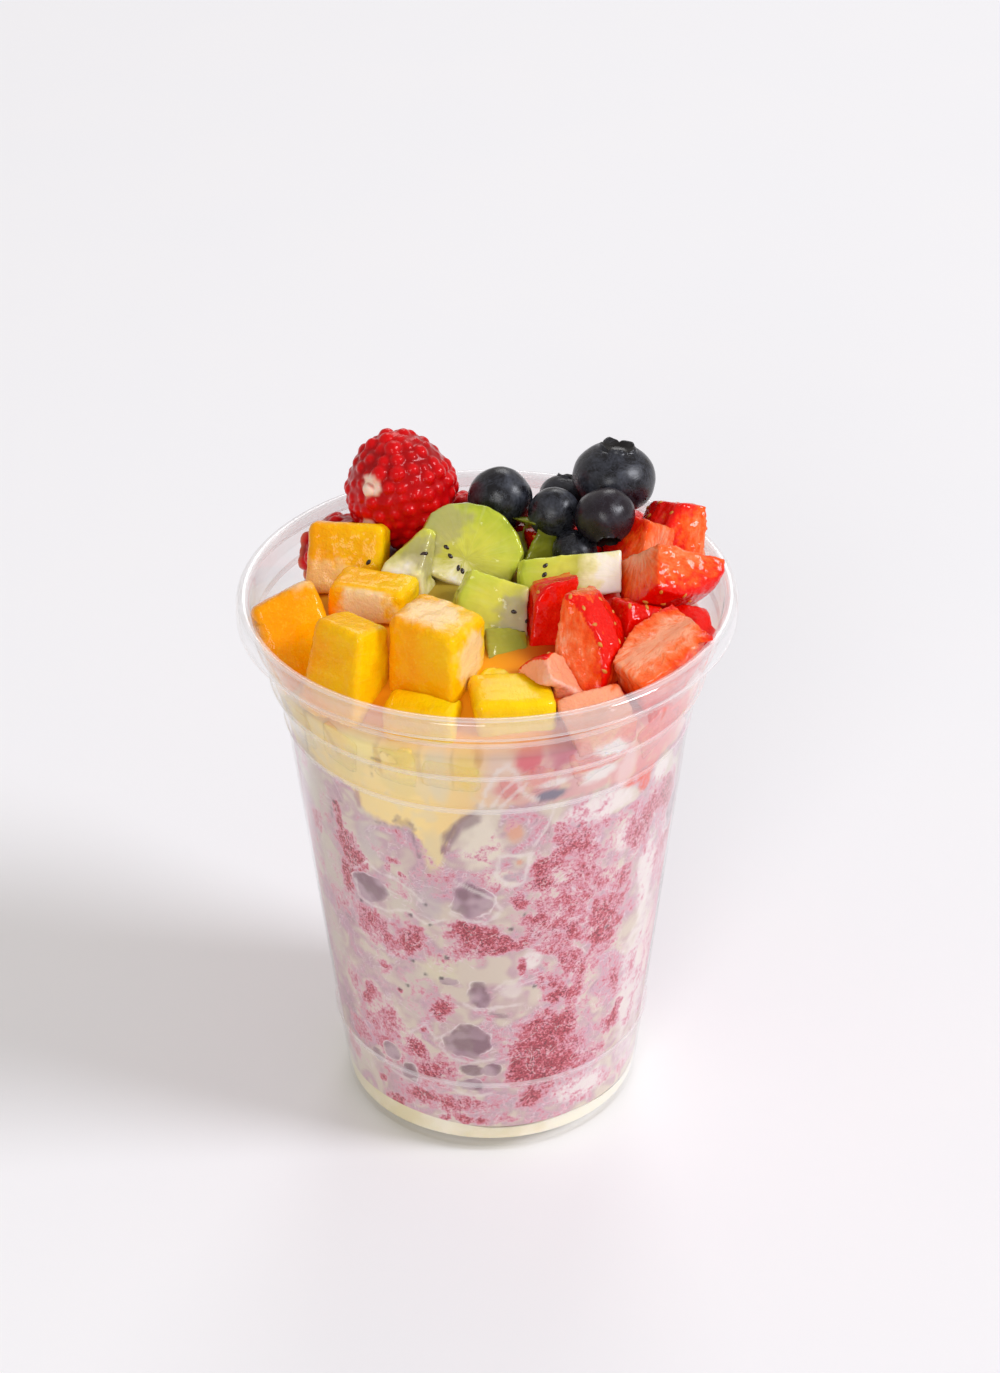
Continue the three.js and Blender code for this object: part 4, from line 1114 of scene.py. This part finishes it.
def look_mango(fruit):
    """Ripe mango flesh, knife-cut: wet, translucent, golden with fine fibres that run one way."""
    look, tree = blank("cut_mango")
    grain = add(tree, "ShaderNodeAttribute", attribute_name="grain").outputs["Vector"]
    tone = add(tree, "ShaderNodeAttribute", attribute_name="tone").outputs["Fac"]
    stretch = add(tree, "ShaderNodeMapping", {"Vector": grain, "Scale": (1.6, 0.25, 1.6)})
    fibre = add(tree, "ShaderNodeTexNoise", {"Vector": stretch, "Scale": 1.0, "Detail": 3.0})
    cloud = add(tree, "ShaderNodeTexNoise", {"Vector": grain, "Scale": 0.16, "Detail": 3.0})
    grit = add(tree, "ShaderNodeTexNoise", {"Vector": grain, "Scale": 2.6, "Detail": 2.0})
    uneven = add(tree, "ShaderNodeMath", {0: cloud, 1: 1.0, 2: -0.5}, operation="MULTIPLY_ADD")
    # The tone holds each block's own flesh tone and painted light, yellower on its lit +X side
    spread = add(tree, "ShaderNodeMath", {0: tone, 1: uneven}, operation="ADD", use_clamp=True)
    flesh = add(tree, "ShaderNodeMix", {0: spread, 6: tuple(fruit.mango_deep), 7: tuple(fruit.mango_bright)},
                data_type="RGBA")
    lines = add(tree, "ShaderNodeMapRange", {0: fibre, 1: 0.56, 2: 0.75, 4: 0.3})
    threads = add(tree, "ShaderNodeMix", {0: lines, 6: flesh, 7: linear("FFDA40")}, data_type="RGBA")
    base = coated(tree, threads, linear("FADDAE"))
    height = add(tree, "ShaderNodeMath", {0: fibre, 1: grit}, operation="ADD")
    bump = add(tree, "ShaderNodeBump", {"Height": height, "Strength": 0.5, "Distance": 0.3 * MM})
    surface = add(tree, "ShaderNodeBsdfPrincipled", {
        "Base Color": base, "Roughness": 0.24, "IOR": 1.38, "Specular IOR Level": 0.35,
        "Specular Tint": linear("FFC860"),
        "Subsurface Weight": 0.3, "Subsurface Radius": (1.0, 0.55, 0.05), "Subsurface Scale": 2.5 * MM,
        "Coat Weight": 0.25, "Coat Roughness": 0.05, "Normal": bump,
    })
    return finished(look, surface)


class PARFAIT_OT_mango(bpy.types.Operator):
    """Build the blocks of mango"""

    bl_idname = "parfait.mango"
    bl_label = "Mango"

    def execute(self, context):
        look = look_mango(context.scene.parfait_fruit)
        pieces = cut_pieces("mango", MANGO, look, grid=0.45 * MM, rounds=5, rough=0.2, first=0)
        for seed, mesh, points, (at, turn, tilt, roll, bright) in pieces:
            paint(mesh, "grain", local(points, laid(at, turn, tilt, roll)) + APART * seed)
            # Painted light: the flesh is made yellower towards +X, the side that the key light falls on
            paint(mesh, "tone", bright + 0.045 * (points[:, 0] - at[0]))
        return {"FINISHED"}


def berry_profile(along):
    """A strawberry's radius at shares of its length, from its leafy end at 0 to its tip at 1, in mm."""
    along = np.clip(along, 0.001, 0.999)
    return BERRY_RADIUS * np.sin(math.pi * along ** 0.62) ** 0.75


def look_strawberry(fruit):
    """Strawberry, knife-cut: wet flesh from a pale core to a glossy red skin, with paler threads outwards."""
    look, tree = blank("cut_strawberry")
    grain = add(tree, "ShaderNodeAttribute", attribute_name="grain").outputs["Vector"]
    depth = add(tree, "ShaderNodeAttribute", attribute_name="depth").outputs["Fac"]
    stretch = add(tree, "ShaderNodeMapping", {"Vector": grain, "Scale": (1.1, 0.5, 0.16)})
    thread = add(tree, "ShaderNodeTexNoise", {"Vector": stretch, "Scale": 1.0, "Detail": 4.0,
                                              "Roughness": 0.6})
    pits = add(tree, "ShaderNodeTexNoise", {"Vector": grain, "Scale": 1.3, "Detail": 3.0})
    cloud = add(tree, "ShaderNodeTexNoise", {"Vector": grain, "Scale": 0.22, "Detail": 3.0})
    uneven = add(tree, "ShaderNodeMath", {0: thread, 1: -0.8, 2: 0.4}, operation="MULTIPLY_ADD")
    uneven = add(tree, "ShaderNodeMath", {0: cloud, 1: 0.7, 2: uneven}, operation="MULTIPLY_ADD")
    spread = add(tree, "ShaderNodeMath", {0: depth, 1: uneven}, operation="ADD")
    centred = add(tree, "ShaderNodeMath", {0: spread, 1: -0.35}, operation="ADD")
    core, flesh = tuple(fruit.strawberry_core), tuple(fruit.strawberry_flesh)
    skin = tuple(fruit.strawberry_skin)
    ramp = add(tree, "ShaderNodeValToRGB", {0: centred},
               stops=((0.02, core), (1.0, skin), (0.22, linear("FF7C44")), (0.44, flesh),
                      (0.7, linear("EE1C06"))))
    rind = add(tree, "ShaderNodeMapRange", {0: depth, 1: 0.93, 2: 0.99})
    skinned = add(tree, "ShaderNodeMix", {0: rind, 6: ramp, 7: skin}, data_type="RGBA")
    base = coated(tree, skinned, linear("FFDACF"))
    height = add(tree, "ShaderNodeMath", {0: thread, 1: pits}, operation="ADD")
    bump = add(tree, "ShaderNodeBump", {"Height": height, "Strength": 0.7, "Distance": 0.4 * MM})
    surface = add(tree, "ShaderNodeBsdfPrincipled", {
        "Base Color": base, "Roughness": 0.2, "IOR": 1.38, "Specular IOR Level": 0.3,
        "Specular Tint": linear("FFA080"),
        "Subsurface Weight": 0.25, "Subsurface Radius": (1.0, 0.3, 0.1), "Subsurface Scale": 2.0 * MM,
        "Coat Weight": 0.42, "Coat Roughness": 0.03, "Normal": bump,
    })
    return finished(look, surface)


def look_achene(fruit):
    """Strawberry seeds: small, hard, golden and slightly glossy."""
    look, tree = blank("strawberry_achene")
    place = add(tree, "ShaderNodeTexCoord").outputs["Object"]
    cloud = add(tree, "ShaderNodeTexNoise", {"Vector": place, "Scale": 1 / (3 * MM), "Detail": 1.0})
    tint = add(tree, "ShaderNodeMix", {0: cloud, 6: tuple(fruit.achene), 7: linear("C8641C")},
               data_type="RGBA")
    surface = add(tree, "ShaderNodeBsdfPrincipled", {"Base Color": tint, "Roughness": 0.35})
    return finished(look, surface)


def spread_out(points, gap, rng):
    """A few of the points, in random order, none nearer to another than the gap."""
    kept = []
    for at in points[rng.permutation(len(points))]:
        if all(np.linalg.norm(at - other) > gap for other in kept):
            kept.append(at)
    return kept


class PARFAIT_OT_strawberry(bpy.types.Operator):
    """Build the chunks of strawberry and the seeds on their skin"""

    bl_idname = "parfait.strawberry"
    bl_label = "Strawberry"

    def execute(self, context):
        fruit = context.scene.parfait_fruit
        look = look_strawberry(fruit)
        seeds = bmesh.new()
        pieces = cut_pieces("strawberry", STRAWBERRY, look, grid=0.42 * MM, rounds=4, rough=0.32, first=20)
        for seed, mesh, points, (at, tip, skin, width, pale) in pieces:
            own = local(points, seat(at, tip, skin))
            own[:, 0] += BERRY_CORE + width / 2
            depth = from_axis(own) / berry_profile(own[:, 2] / BERRY_LENGTH + 0.5)
            paint(mesh, "grain", rolled_out(own) + APART * seed)
            paint(mesh, "depth", np.where(depth > 0.94, depth, depth - pale))
            shown = points[(depth > 0.97) & (from_axis(points) < SEEDED_RADIUS)]
            spots = spread_out(shown, gap=3.4, rng=np.random.default_rng(200 + seed))
            set_in(seeds, mesh, spots, ACHENE_SIZE, seed=220 + seed, sink=0.12)
        place_piece("strawberry_seeds", seeds, [look_achene(fruit)])
        return {"FINISHED"}


def look_kiwi(fruit):
    """Green kiwi, peeled and cut: wet and translucent, pale at the core, with fine light rays outwards."""
    look, tree = blank("cut_kiwi")
    grain = add(tree, "ShaderNodeAttribute", attribute_name="grain").outputs["Vector"]
    depth = add(tree, "ShaderNodeAttribute", attribute_name="depth").outputs["Fac"]
    shade = add(tree, "ShaderNodeAttribute", attribute_name="shade").outputs["Fac"]
    stretch = add(tree, "ShaderNodeMapping", {"Vector": grain, "Scale": (1.3, 0.25, 0.12)})
    rays = add(tree, "ShaderNodeTexNoise", {"Vector": stretch, "Scale": 1.0, "Detail": 4.0})
    cloud = add(tree, "ShaderNodeTexNoise", {"Vector": grain, "Scale": 0.3, "Detail": 3.0})
    uneven = add(tree, "ShaderNodeMath", {0: cloud, 1: 0.4, 2: -0.2}, operation="MULTIPLY_ADD")
    spread = add(tree, "ShaderNodeMath", {0: depth, 1: uneven}, operation="ADD")
    core, flesh = tuple(fruit.kiwi_core), tuple(fruit.kiwi_flesh)
    ramp = add(tree, "ShaderNodeValToRGB", {0: spread},
               stops=((0.19, core), (1.0, linear("8E9C28")), (0.26, linear("F4ECB8")),
                      (0.42, linear("C4C04C")), (0.6, flesh), (0.88, linear("BEC83C"))))
    lines = add(tree, "ShaderNodeMapRange", {0: rays, 1: 0.52, 2: 0.72, 4: 0.16})
    rayed = add(tree, "ShaderNodeMix", {0: lines, 6: ramp, 7: linear("E4E6A0")}, data_type="RGBA")
    # Painted shade: pieces that lie in shadow are darkened towards dark olive
    shaded = add(tree, "ShaderNodeMix", {0: shade, 6: rayed, 7: linear("5E5A08")}, data_type="RGBA")
    base = coated(tree, shaded, linear("A89F7C"))
    bump = add(tree, "ShaderNodeBump", {"Height": rays, "Strength": 0.3, "Distance": 0.3 * MM})
    surface = add(tree, "ShaderNodeBsdfPrincipled", {
        "Base Color": base, "Roughness": 0.26, "IOR": 1.38, "Specular IOR Level": 0.35,
        "Specular Tint": linear("F4F0B0"),
        "Subsurface Weight": 0.4, "Subsurface Radius": (0.9, 1.0, 0.2), "Subsurface Scale": 3 * MM,
        "Coat Weight": 0.6, "Coat Roughness": 0.04, "Normal": bump,
    })
    return finished(look, surface)


# Kiwi seeds that show: a place near each on its piece
SEEDS = {
    "kiwi_back": ((-7.9, 7.6, 121.6), (-7.2, 6.4, 120.4), (-5.6, 5.4, 118.2), (-4.9, 5.2, 117.4)),
    "kiwi_middle": ((5.2, -12.8, 118.9), (7.3, -13.1, 117.2), (6.6, -14.5, 115.2)),
    "kiwi_core": ((11.4, -1.4, 122.5), (11.0, -2.6, 121)),
    "kiwi_left": ((-12.2, 3.2, 122.6),),
    "mango_back_left": ((-23.4, 7.6, 118.2),),
}


def look_seed(fruit):
    """Kiwi seed coat: hard, smooth and nearly black, wet with juice."""
    look, tree = blank("kiwi_seed")
    place = add(tree, "ShaderNodeTexCoord").outputs["Object"]
    cloud = add(tree, "ShaderNodeTexNoise", {"Vector": place, "Scale": 1 / (0.6 * MM), "Detail": 1.0})
    tint = add(tree, "ShaderNodeMix", {0: cloud, 6: tuple(fruit.seed), 7: linear("3A2418")}, data_type="RGBA")
    surface = add(tree, "ShaderNodeBsdfPrincipled", {"Base Color": tint, "Roughness": 0.25})
    return finished(look, surface)


def set_in(bm, mesh, spots, size, seed, sink):
    """Adds a drop-shaped seed at the nearest place of a mesh to each spot, in millimetres."""
    surface = bmesh.new()
    surface.from_mesh(mesh)
    tree = BVHTree.FromBMesh(surface)
    surface.free()
    rng = np.random.default_rng(seed)
    for spot in spots:
        at, facing, _, _ = tree.find_nearest(Vector(spot) * MM)
        towards = Vector(rng.normal(size=3))
        stretched = Matrix.Diagonal((size[0] * MM, size[1] * MM, size[2] * MM, 1))
        turned = seat(at - facing * sink * MM, facing, towards)
        made = bmesh.ops.create_icosphere(bm, subdivisions=2, radius=0.5, matrix=turned @ stretched)
        middle = turned.translation
        along = turned.col[0].to_3d()
        for vert in made["verts"]:
            share_along = (vert.co - middle).dot(along) / (size[0] * MM / 2)
            vert.co += (middle + along * (vert.co - middle).dot(along) - vert.co) * 0.45 * max(0, share_along)


class PARFAIT_OT_kiwi(bpy.types.Operator):
    """Build the chunks of kiwi and the seeds in them"""

    bl_idname = "parfait.kiwi"
    bl_label = "Kiwi"

    def execute(self, context):
        fruit = context.scene.parfait_fruit
        look = look_kiwi(fruit)
        pieces = cut_pieces("kiwi", KIWI, look, grid=0.42 * MM, rounds=4, rough=0.2, first=50)
        for seed, mesh, points, (at, axis, skin, radius, inner, further, shade) in pieces:
            own = local(points, seat(at, axis, skin))
            own[:, 0] += (inner + radius) / 2
            paint(mesh, "grain", rolled_out(own) + APART * seed)
            own[:, 0] += further
            paint(mesh, "depth", np.clip(from_axis(own) / KIWI_RADIUS, 0, 1))
            # Painted shade for pieces that lie in shadow
            paint(mesh, "shade", np.full(len(points), shade))
        bm = bmesh.new()
        for seed, (node, spots) in enumerate(SEEDS.items()):
            mesh = bpy.data.objects[f"{node}_cut"].data
            set_in(bm, mesh, spots, KIWI_SEED_SIZE, seed=80 + seed, sink=0.2)
        place_piece("kiwi_seeds", bm, [look_seed(fruit)])
        return {"FINISHED"}


def berry_taper(height):
    """How wide a raspberry is at a height from -1 to 1, with its tip at 1."""
    return 1 - 0.16 * max(0, height) ** 2


def look_raspberry(fruit):
    """Raspberry skin: thin, moist and translucent over red juice."""
    look, tree = blank("raspberry_skin")
    place = add(tree, "ShaderNodeTexCoord").outputs["Object"]
    cloud = add(tree, "ShaderNodeTexNoise", {"Vector": place, "Scale": 1 / (3 * MM), "Detail": 2.0})
    crease = add(tree, "ShaderNodeAttribute", attribute_name="crease").outputs["Fac"]
    red = add(tree, "ShaderNodeMix", {0: cloud, 6: tuple(fruit.raspberry), 7: linear("DE0C10")},
              data_type="RGBA")
    # Painted shade: the hollows between the drupelets are darkened
    shaded = add(tree, "ShaderNodeMix", {0: crease, 6: red, 7: linear("8A0206")}, data_type="RGBA")
    base = coated(tree, shaded, linear("F6DCC8"))
    surface = add(tree, "ShaderNodeBsdfPrincipled", {
        "Base Color": base, "Roughness": 0.28, "IOR": 1.38, "Specular IOR Level": 0.3,
        "Specular Tint": linear("FFA0A0"),
        "Subsurface Weight": 0.3, "Subsurface Radius": (1.0, 0.1, 0.05), "Subsurface Scale": 1.5 * MM,
        "Coat Weight": 0.22, "Coat Roughness": 0.12,
    })
    return finished(look, surface)


class PARFAIT_OT_raspberry(bpy.types.Operator):
    """Build the raspberries from rings of drupelets"""

    bl_idname = "parfait.raspberry"
    bl_label = "Raspberries"

    def execute(self, context):
        look = look_raspberry(context.scene.parfait_fruit)
        for seed, (place, (at, tip, radius, tall)) in enumerate(RASPBERRY.items()):
            node = f"raspberry_{place}"
            rng = np.random.default_rng(30 + seed)
            matrix = seat(at, tip, (1, 0, 0.1))
            wide, high = radius - SUNK * DRUPELET, tall / 2 - SUNK * DRUPELET
            rows = round(math.pi * (wide + high) / 2 / (DRUPELET * ROW_GAP))
            bm = bmesh.new()
            bmesh.ops.create_icosphere(bm, subdivisions=4, radius=1)
            for vert in bm.verts:
                girth = (wide + CORE * DRUPELET) * berry_taper(vert.co.z)
                vert.co = Vector((vert.co.x * girth, vert.co.y * girth, vert.co.z * (high + CORE * DRUPELET)))
            for row in range(rows + 1):
                polar = math.pi * row / rows
                height = math.cos(polar)
                ring = wide * math.sin(polar) * berry_taper(height)
                count = max(1, round(math.tau * ring / (DRUPELET * NEIGHBOUR_GAP)))
                start = rng.uniform(0, math.tau)
                for i in range(count):
                    turn = start + math.tau * (i + rng.uniform(-0.2, 0.2)) / count
                    lift = height * high + rng.uniform(-0.5, 0.5)
                    out = ring + rng.uniform(-0.35, 0.25)
                    spot = Matrix.Translation((out * math.cos(turn), out * math.sin(turn), lift))
                    size = DRUPELET * rng.uniform(0.82, 1.08)
                    bmesh.ops.create_icosphere(bm, subdivisions=2, radius=size, matrix=spot)
            bmesh.ops.transform(bm, matrix=Matrix.Scale(MM, 4) @ matrix, verts=bm.verts)
            even = even_mesh(bm, 0.26 * MM)
            soften(even, 2)
            piece = place_piece(f"{node}_fruit", even, [look], [node])
            points = points_of(piece.data)
            normals = normals_of(piece.data)
            outward = np.linalg.norm(local(points, matrix) / (radius, radius, tall / 2), axis=1)
            smear = smear_amount(node, points, normals)
            points = points + normals * (0.4 * smear + 0.1 * waves(points, 1.4, 5))[:, None]
            points, wall = press_to_wall(points, context.scene.parfait_cup)
            move_points(piece.data, points)
            # Painted shade in the hollows between the drupelets
            paint(piece.data, "crease", np.clip(smoothstep(0.97, 0.86, outward), 0, 1))
            store_cover(piece.data, points, smear, wall, context.scene.parfait_filling)
        return {"FINISHED"}


def look_blueberry(fruit):
    """Blueberry skin: near black navy under a waxy bloom that is rubbed away in places."""
    look, tree = blank("blueberry_skin")
    place = add(tree, "ShaderNodeTexCoord").outputs["Object"]
    worn = add(tree, "ShaderNodeTexNoise", {"Vector": place, "Scale": 1 / (4 * MM), "Detail": 6.0,
                                            "Roughness": 0.75, "Distortion": 0.6})
    dust = add(tree, "ShaderNodeTexNoise", {"Vector": place, "Scale": 1 / (0.6 * MM), "Detail": 2.0})
    scratch = add(tree, "ShaderNodeTexNoise", {"Vector": place, "Scale": 1 / (5 * MM), "Detail": 5.0,
                                               "Roughness": 0.6, "Distortion": 1.5})
    amount = add(tree, "ShaderNodeMapRange", {0: worn, 1: 0.42, 2: 0.72, 4: 0.6})
    dusty = add(tree, "ShaderNodeMath", {0: amount, 1: dust}, operation="MULTIPLY")
    # Fine lines where the wax has cracked
    middle = add(tree, "ShaderNodeMath", {0: scratch, 1: 0.5}, operation="SUBTRACT")
    near = add(tree, "ShaderNodeMath", {0: middle}, operation="ABSOLUTE")
    crack = add(tree, "ShaderNodeMapRange", {0: near, 1: 0.012, 2: 0.002, 4: 0.22})
    waxed = add(tree, "ShaderNodeMath", {0: dusty, 1: crack}, operation="MAXIMUM")
    skin = add(tree, "ShaderNodeMix", {0: waxed, 6: tuple(fruit.blueberry), 7: tuple(fruit.bloom)},
               data_type="RGBA")
    ripe = add(tree, "ShaderNodeAttribute", attribute_name="purple").outputs["Fac"]
    toned = add(tree, "ShaderNodeMix", {0: ripe, 6: skin, 7: linear("20141E")}, data_type="RGBA")
    scar = add(tree, "ShaderNodeAttribute", attribute_name="crown").outputs["Fac"]
    base = add(tree, "ShaderNodeMix", {0: scar, 6: toned, 7: linear("0C0808")}, data_type="RGBA")
    rough = add(tree, "ShaderNodeMapRange", {0: amount, 1: 0.0, 2: 0.6, 3: 0.24, 4: 0.42})
    bump = add(tree, "ShaderNodeBump", {"Height": worn, "Strength": 0.35, "Distance": 0.3 * MM})
    surface = add(tree, "ShaderNodeBsdfPrincipled", {
        "Base Color": base, "Roughness": rough, "IOR": 1.42, "Specular IOR Level": 0.55,
        "Normal": bump,
    })
    return finished(look, surface)


class PARFAIT_OT_blueberry(bpy.types.Operator):
    """Build the blueberries with their crowns"""

    bl_idname = "parfait.blueberry"
    bl_label = "Blueberries"

    def execute(self, context):
        look = look_blueberry(context.scene.parfait_fruit)
        for seed, (place, (at, crown, radius, flat, purple)) in enumerate(BLUEBERRY.items()):
            node = f"blueberry_{place}"
            body = [(0, -1)] + arc(0, 0, 1, -85, 66, 28)
            lip = [(0.4, 0.955), (0.385, 0.985), (0.355, 0.97), (0.32, 0.86)]
            lip += [(0.2, 0.8), (0.06, 0.78), (0, 0.79)]
            bm = spun([(r * radius * MM, z * radius * flat * MM) for r, z in body + lip], 72)
            for vert in bm.verts:
                away = math.hypot(vert.co.x, vert.co.y) / (radius * MM)
                high = vert.co.z / (radius * flat * MM)
                # Teeth stand round the crown's lip
                if 0.33 < away < 0.42 and high > 0.88:
                    turn = math.atan2(vert.co.y, vert.co.x)
                    tooth = abs(math.cos(TEETH / 2 * turn + seed)) ** 0.7
                    ragged = 0.4 * noise.noise(Vector((3 * math.cos(turn), 3 * math.sin(turn), seed)))
                    vert.co.z += (tooth - 0.8 + ragged) * 0.07 * radius * MM
                    lean = 1 + 0.14 * tooth
                    vert.co.x *= lean
                    vert.co.y *= lean
            piece = place_piece(f"{node}_fruit", bm, [look], [node])
            points = points_of(piece.data)
            swell = (0.18 + 0.25 * purple) * waves(points, 4.5, 60 + seed)
            swell += 0.06 * waves(points, 1.5, 70 + seed)
            points = points + normals_of(piece.data) * swell[:, None]
            scar = smoothstep(0.46, 0.36, from_axis(points) / radius) * (points[:, 2] > 0.5 * radius)
            matrix = np.array(seat(at, crown, (1, 0, 0.1)))
            move_points(piece.data, points @ matrix[:3, :3].T + matrix[:3, 3])
            paint(piece.data, "crown", scar)
            paint(piece.data, "purple", np.full(len(points), purple))
        return {"FINISHED"}


def look_floor(stage):
    """Matt white painted board: even, with a faint mottle."""
    look, tree = blank("white_board")
    place = add(tree, "ShaderNodeTexCoord").outputs["Object"]
    mottle = add(tree, "ShaderNodeTexNoise", {"Vector": place, "Scale": 1 / (60 * MM), "Detail": 3.0})
    amount = add(tree, "ShaderNodeMapRange", {0: mottle, 1: 0.3, 2: 0.7, 4: 0.5})
    mixed = add(tree, "ShaderNodeMix", {0: amount, 6: tuple(stage.floor), 7: linear("F6F5F6")},
                data_type="RGBA")
    surface = add(tree, "ShaderNodeBsdfPrincipled", {"Base Color": mixed, "Roughness": 0.7})
    return finished(look, surface)


# Lamps: place, the point that each looks at, its width, all in metres, and its colour
LAMPS = {
    "key": ((4.5, -1.2, 3.8), (0, 0, 0.08), 2.1, "F5F7FF"),
    "fill": ((-0.6, -2.6, 1.5), (0, 0, 0.08), 1.2, "FFFFFF"),
    "back": ((0.4, 3.0, 2.2), (0, 0.9, 0), 1.5, "FFFFFF"),
}

# The photograph's camera: its elevation and roll in degrees, and in mm the point that it looks at, how far it
# is, its lens and its sensor
ELEVATION = 32.19
ROLL = -0.49
TARGET = (2.36, 0, 94.04)
DISTANCE = 654
LENS = 86.38
SENSOR = 36


def lamp(name, at, target, size, power, tint):
    """A soft round light that looks at a point, all in metres."""
    data = bpy.data.lights.new(name, "AREA")
    data.shape = "DISK"
    data.size = size
    data.energy = power
    data.color = tint
    light = bpy.data.objects.new(name, data)
    light.location = at
    light.rotation_euler = (Vector(target) - Vector(at)).to_track_quat("-Z", "Y").to_euler()
    bpy.context.scene.collection.objects.link(light)


class PARFAIT_OT_stage(bpy.types.Operator):
    """Build the floor, the lights and the camera"""

    bl_idname = "parfait.stage"
    bl_label = "Stage"

    def execute(self, context):
        scene = context.scene
        stage = scene.parfait_stage
        bm = bmesh.new()
        bmesh.ops.create_grid(bm, x_segments=8, y_segments=8, size=12)
        floor = place_piece("floor", bm, [look_floor(stage)])
        floor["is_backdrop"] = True

        world = bpy.data.worlds.new("studio")
        scene.world = world
        world.use_nodes = True
        world.node_tree.nodes.clear()
        sky = add(world.node_tree, "ShaderNodeBackground", {"Color": linear("FFFAF7"), "Strength": stage.sky})
        add(world.node_tree, "ShaderNodeOutputWorld", {"Surface": sky})
        for name, (at, target, size, tint) in LAMPS.items():
            lamp(name, at, target, size, getattr(stage, name), linear(tint))

        tilt = math.radians(ELEVATION)
        back = Vector((0, -math.cos(tilt), math.sin(tilt)))
        data = bpy.data.cameras.new("camera")
        data.lens = LENS
        data.sensor_width = SENSOR
        camera = bpy.data.objects.new("camera", data)
        raised = Matrix.Rotation(math.radians(90 - ELEVATION), 4, "X")
        turned = raised @ Matrix.Rotation(math.radians(ROLL), 4, "Z")
        camera.matrix_world = Matrix.Translation((Vector(TARGET) + back * DISTANCE) * MM) @ turned
        scene.collection.objects.link(camera)
        scene.camera = camera
        # Colours show as they are, without a film-like curve
        scene.view_settings.view_transform = "Standard"
        return {"FINISHED"}


PIECES = (PARFAIT_OT_stage, PARFAIT_OT_cup, PARFAIT_OT_filling, PARFAIT_OT_mango, PARFAIT_OT_strawberry,
          PARFAIT_OT_kiwi, PARFAIT_OT_raspberry, PARFAIT_OT_blueberry)


class PARFAIT_PT_panel(bpy.types.Panel):
    """Lists the parfait's pieces and settings"""

    bl_idname = "PARFAIT_PT_panel"
    bl_label = "Fruit Parfait"
    bl_space_type = "VIEW_3D"
    bl_region_type = "UI"
    bl_category = "Parfait"

    def draw(self, context):
        for operator in PIECES:
            self.layout.operator(operator.bl_idname)
        for group in SETTINGS:
            box = self.layout.box()
            settings = getattr(context.scene, group)
            for name in SETTINGS[group].__annotations__:
                box.prop(settings, name)


SETTINGS = {
    "parfait_cup": ParfaitCup,
    "parfait_filling": ParfaitFilling,
    "parfait_fruit": ParfaitFruit,
    "parfait_stage": ParfaitStage,
}


def register():
    for group, kind in SETTINGS.items():
        bpy.utils.register_class(kind)
        setattr(bpy.types.Scene, group, PointerProperty(type=kind))
    for kind in (*PIECES, PARFAIT_PT_panel):
        bpy.utils.register_class(kind)


def unregister():
    for kind in (PARFAIT_PT_panel, *reversed(PIECES)):
        bpy.utils.unregister_class(kind)
    for group, kind in SETTINGS.items():
        delattr(bpy.types.Scene, group)
        bpy.utils.unregister_class(kind)


def main():
    register()
    for operator in PIECES:
        family, name = operator.bl_idname.split(".")
        getattr(getattr(bpy.ops, family), name)()
    boxes = {"cad": CAD_BOX, "visual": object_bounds()}
    {name: [list(corner) for corner in box] for name, box in boxes.items()}


if __name__ == "__main__":
    main()
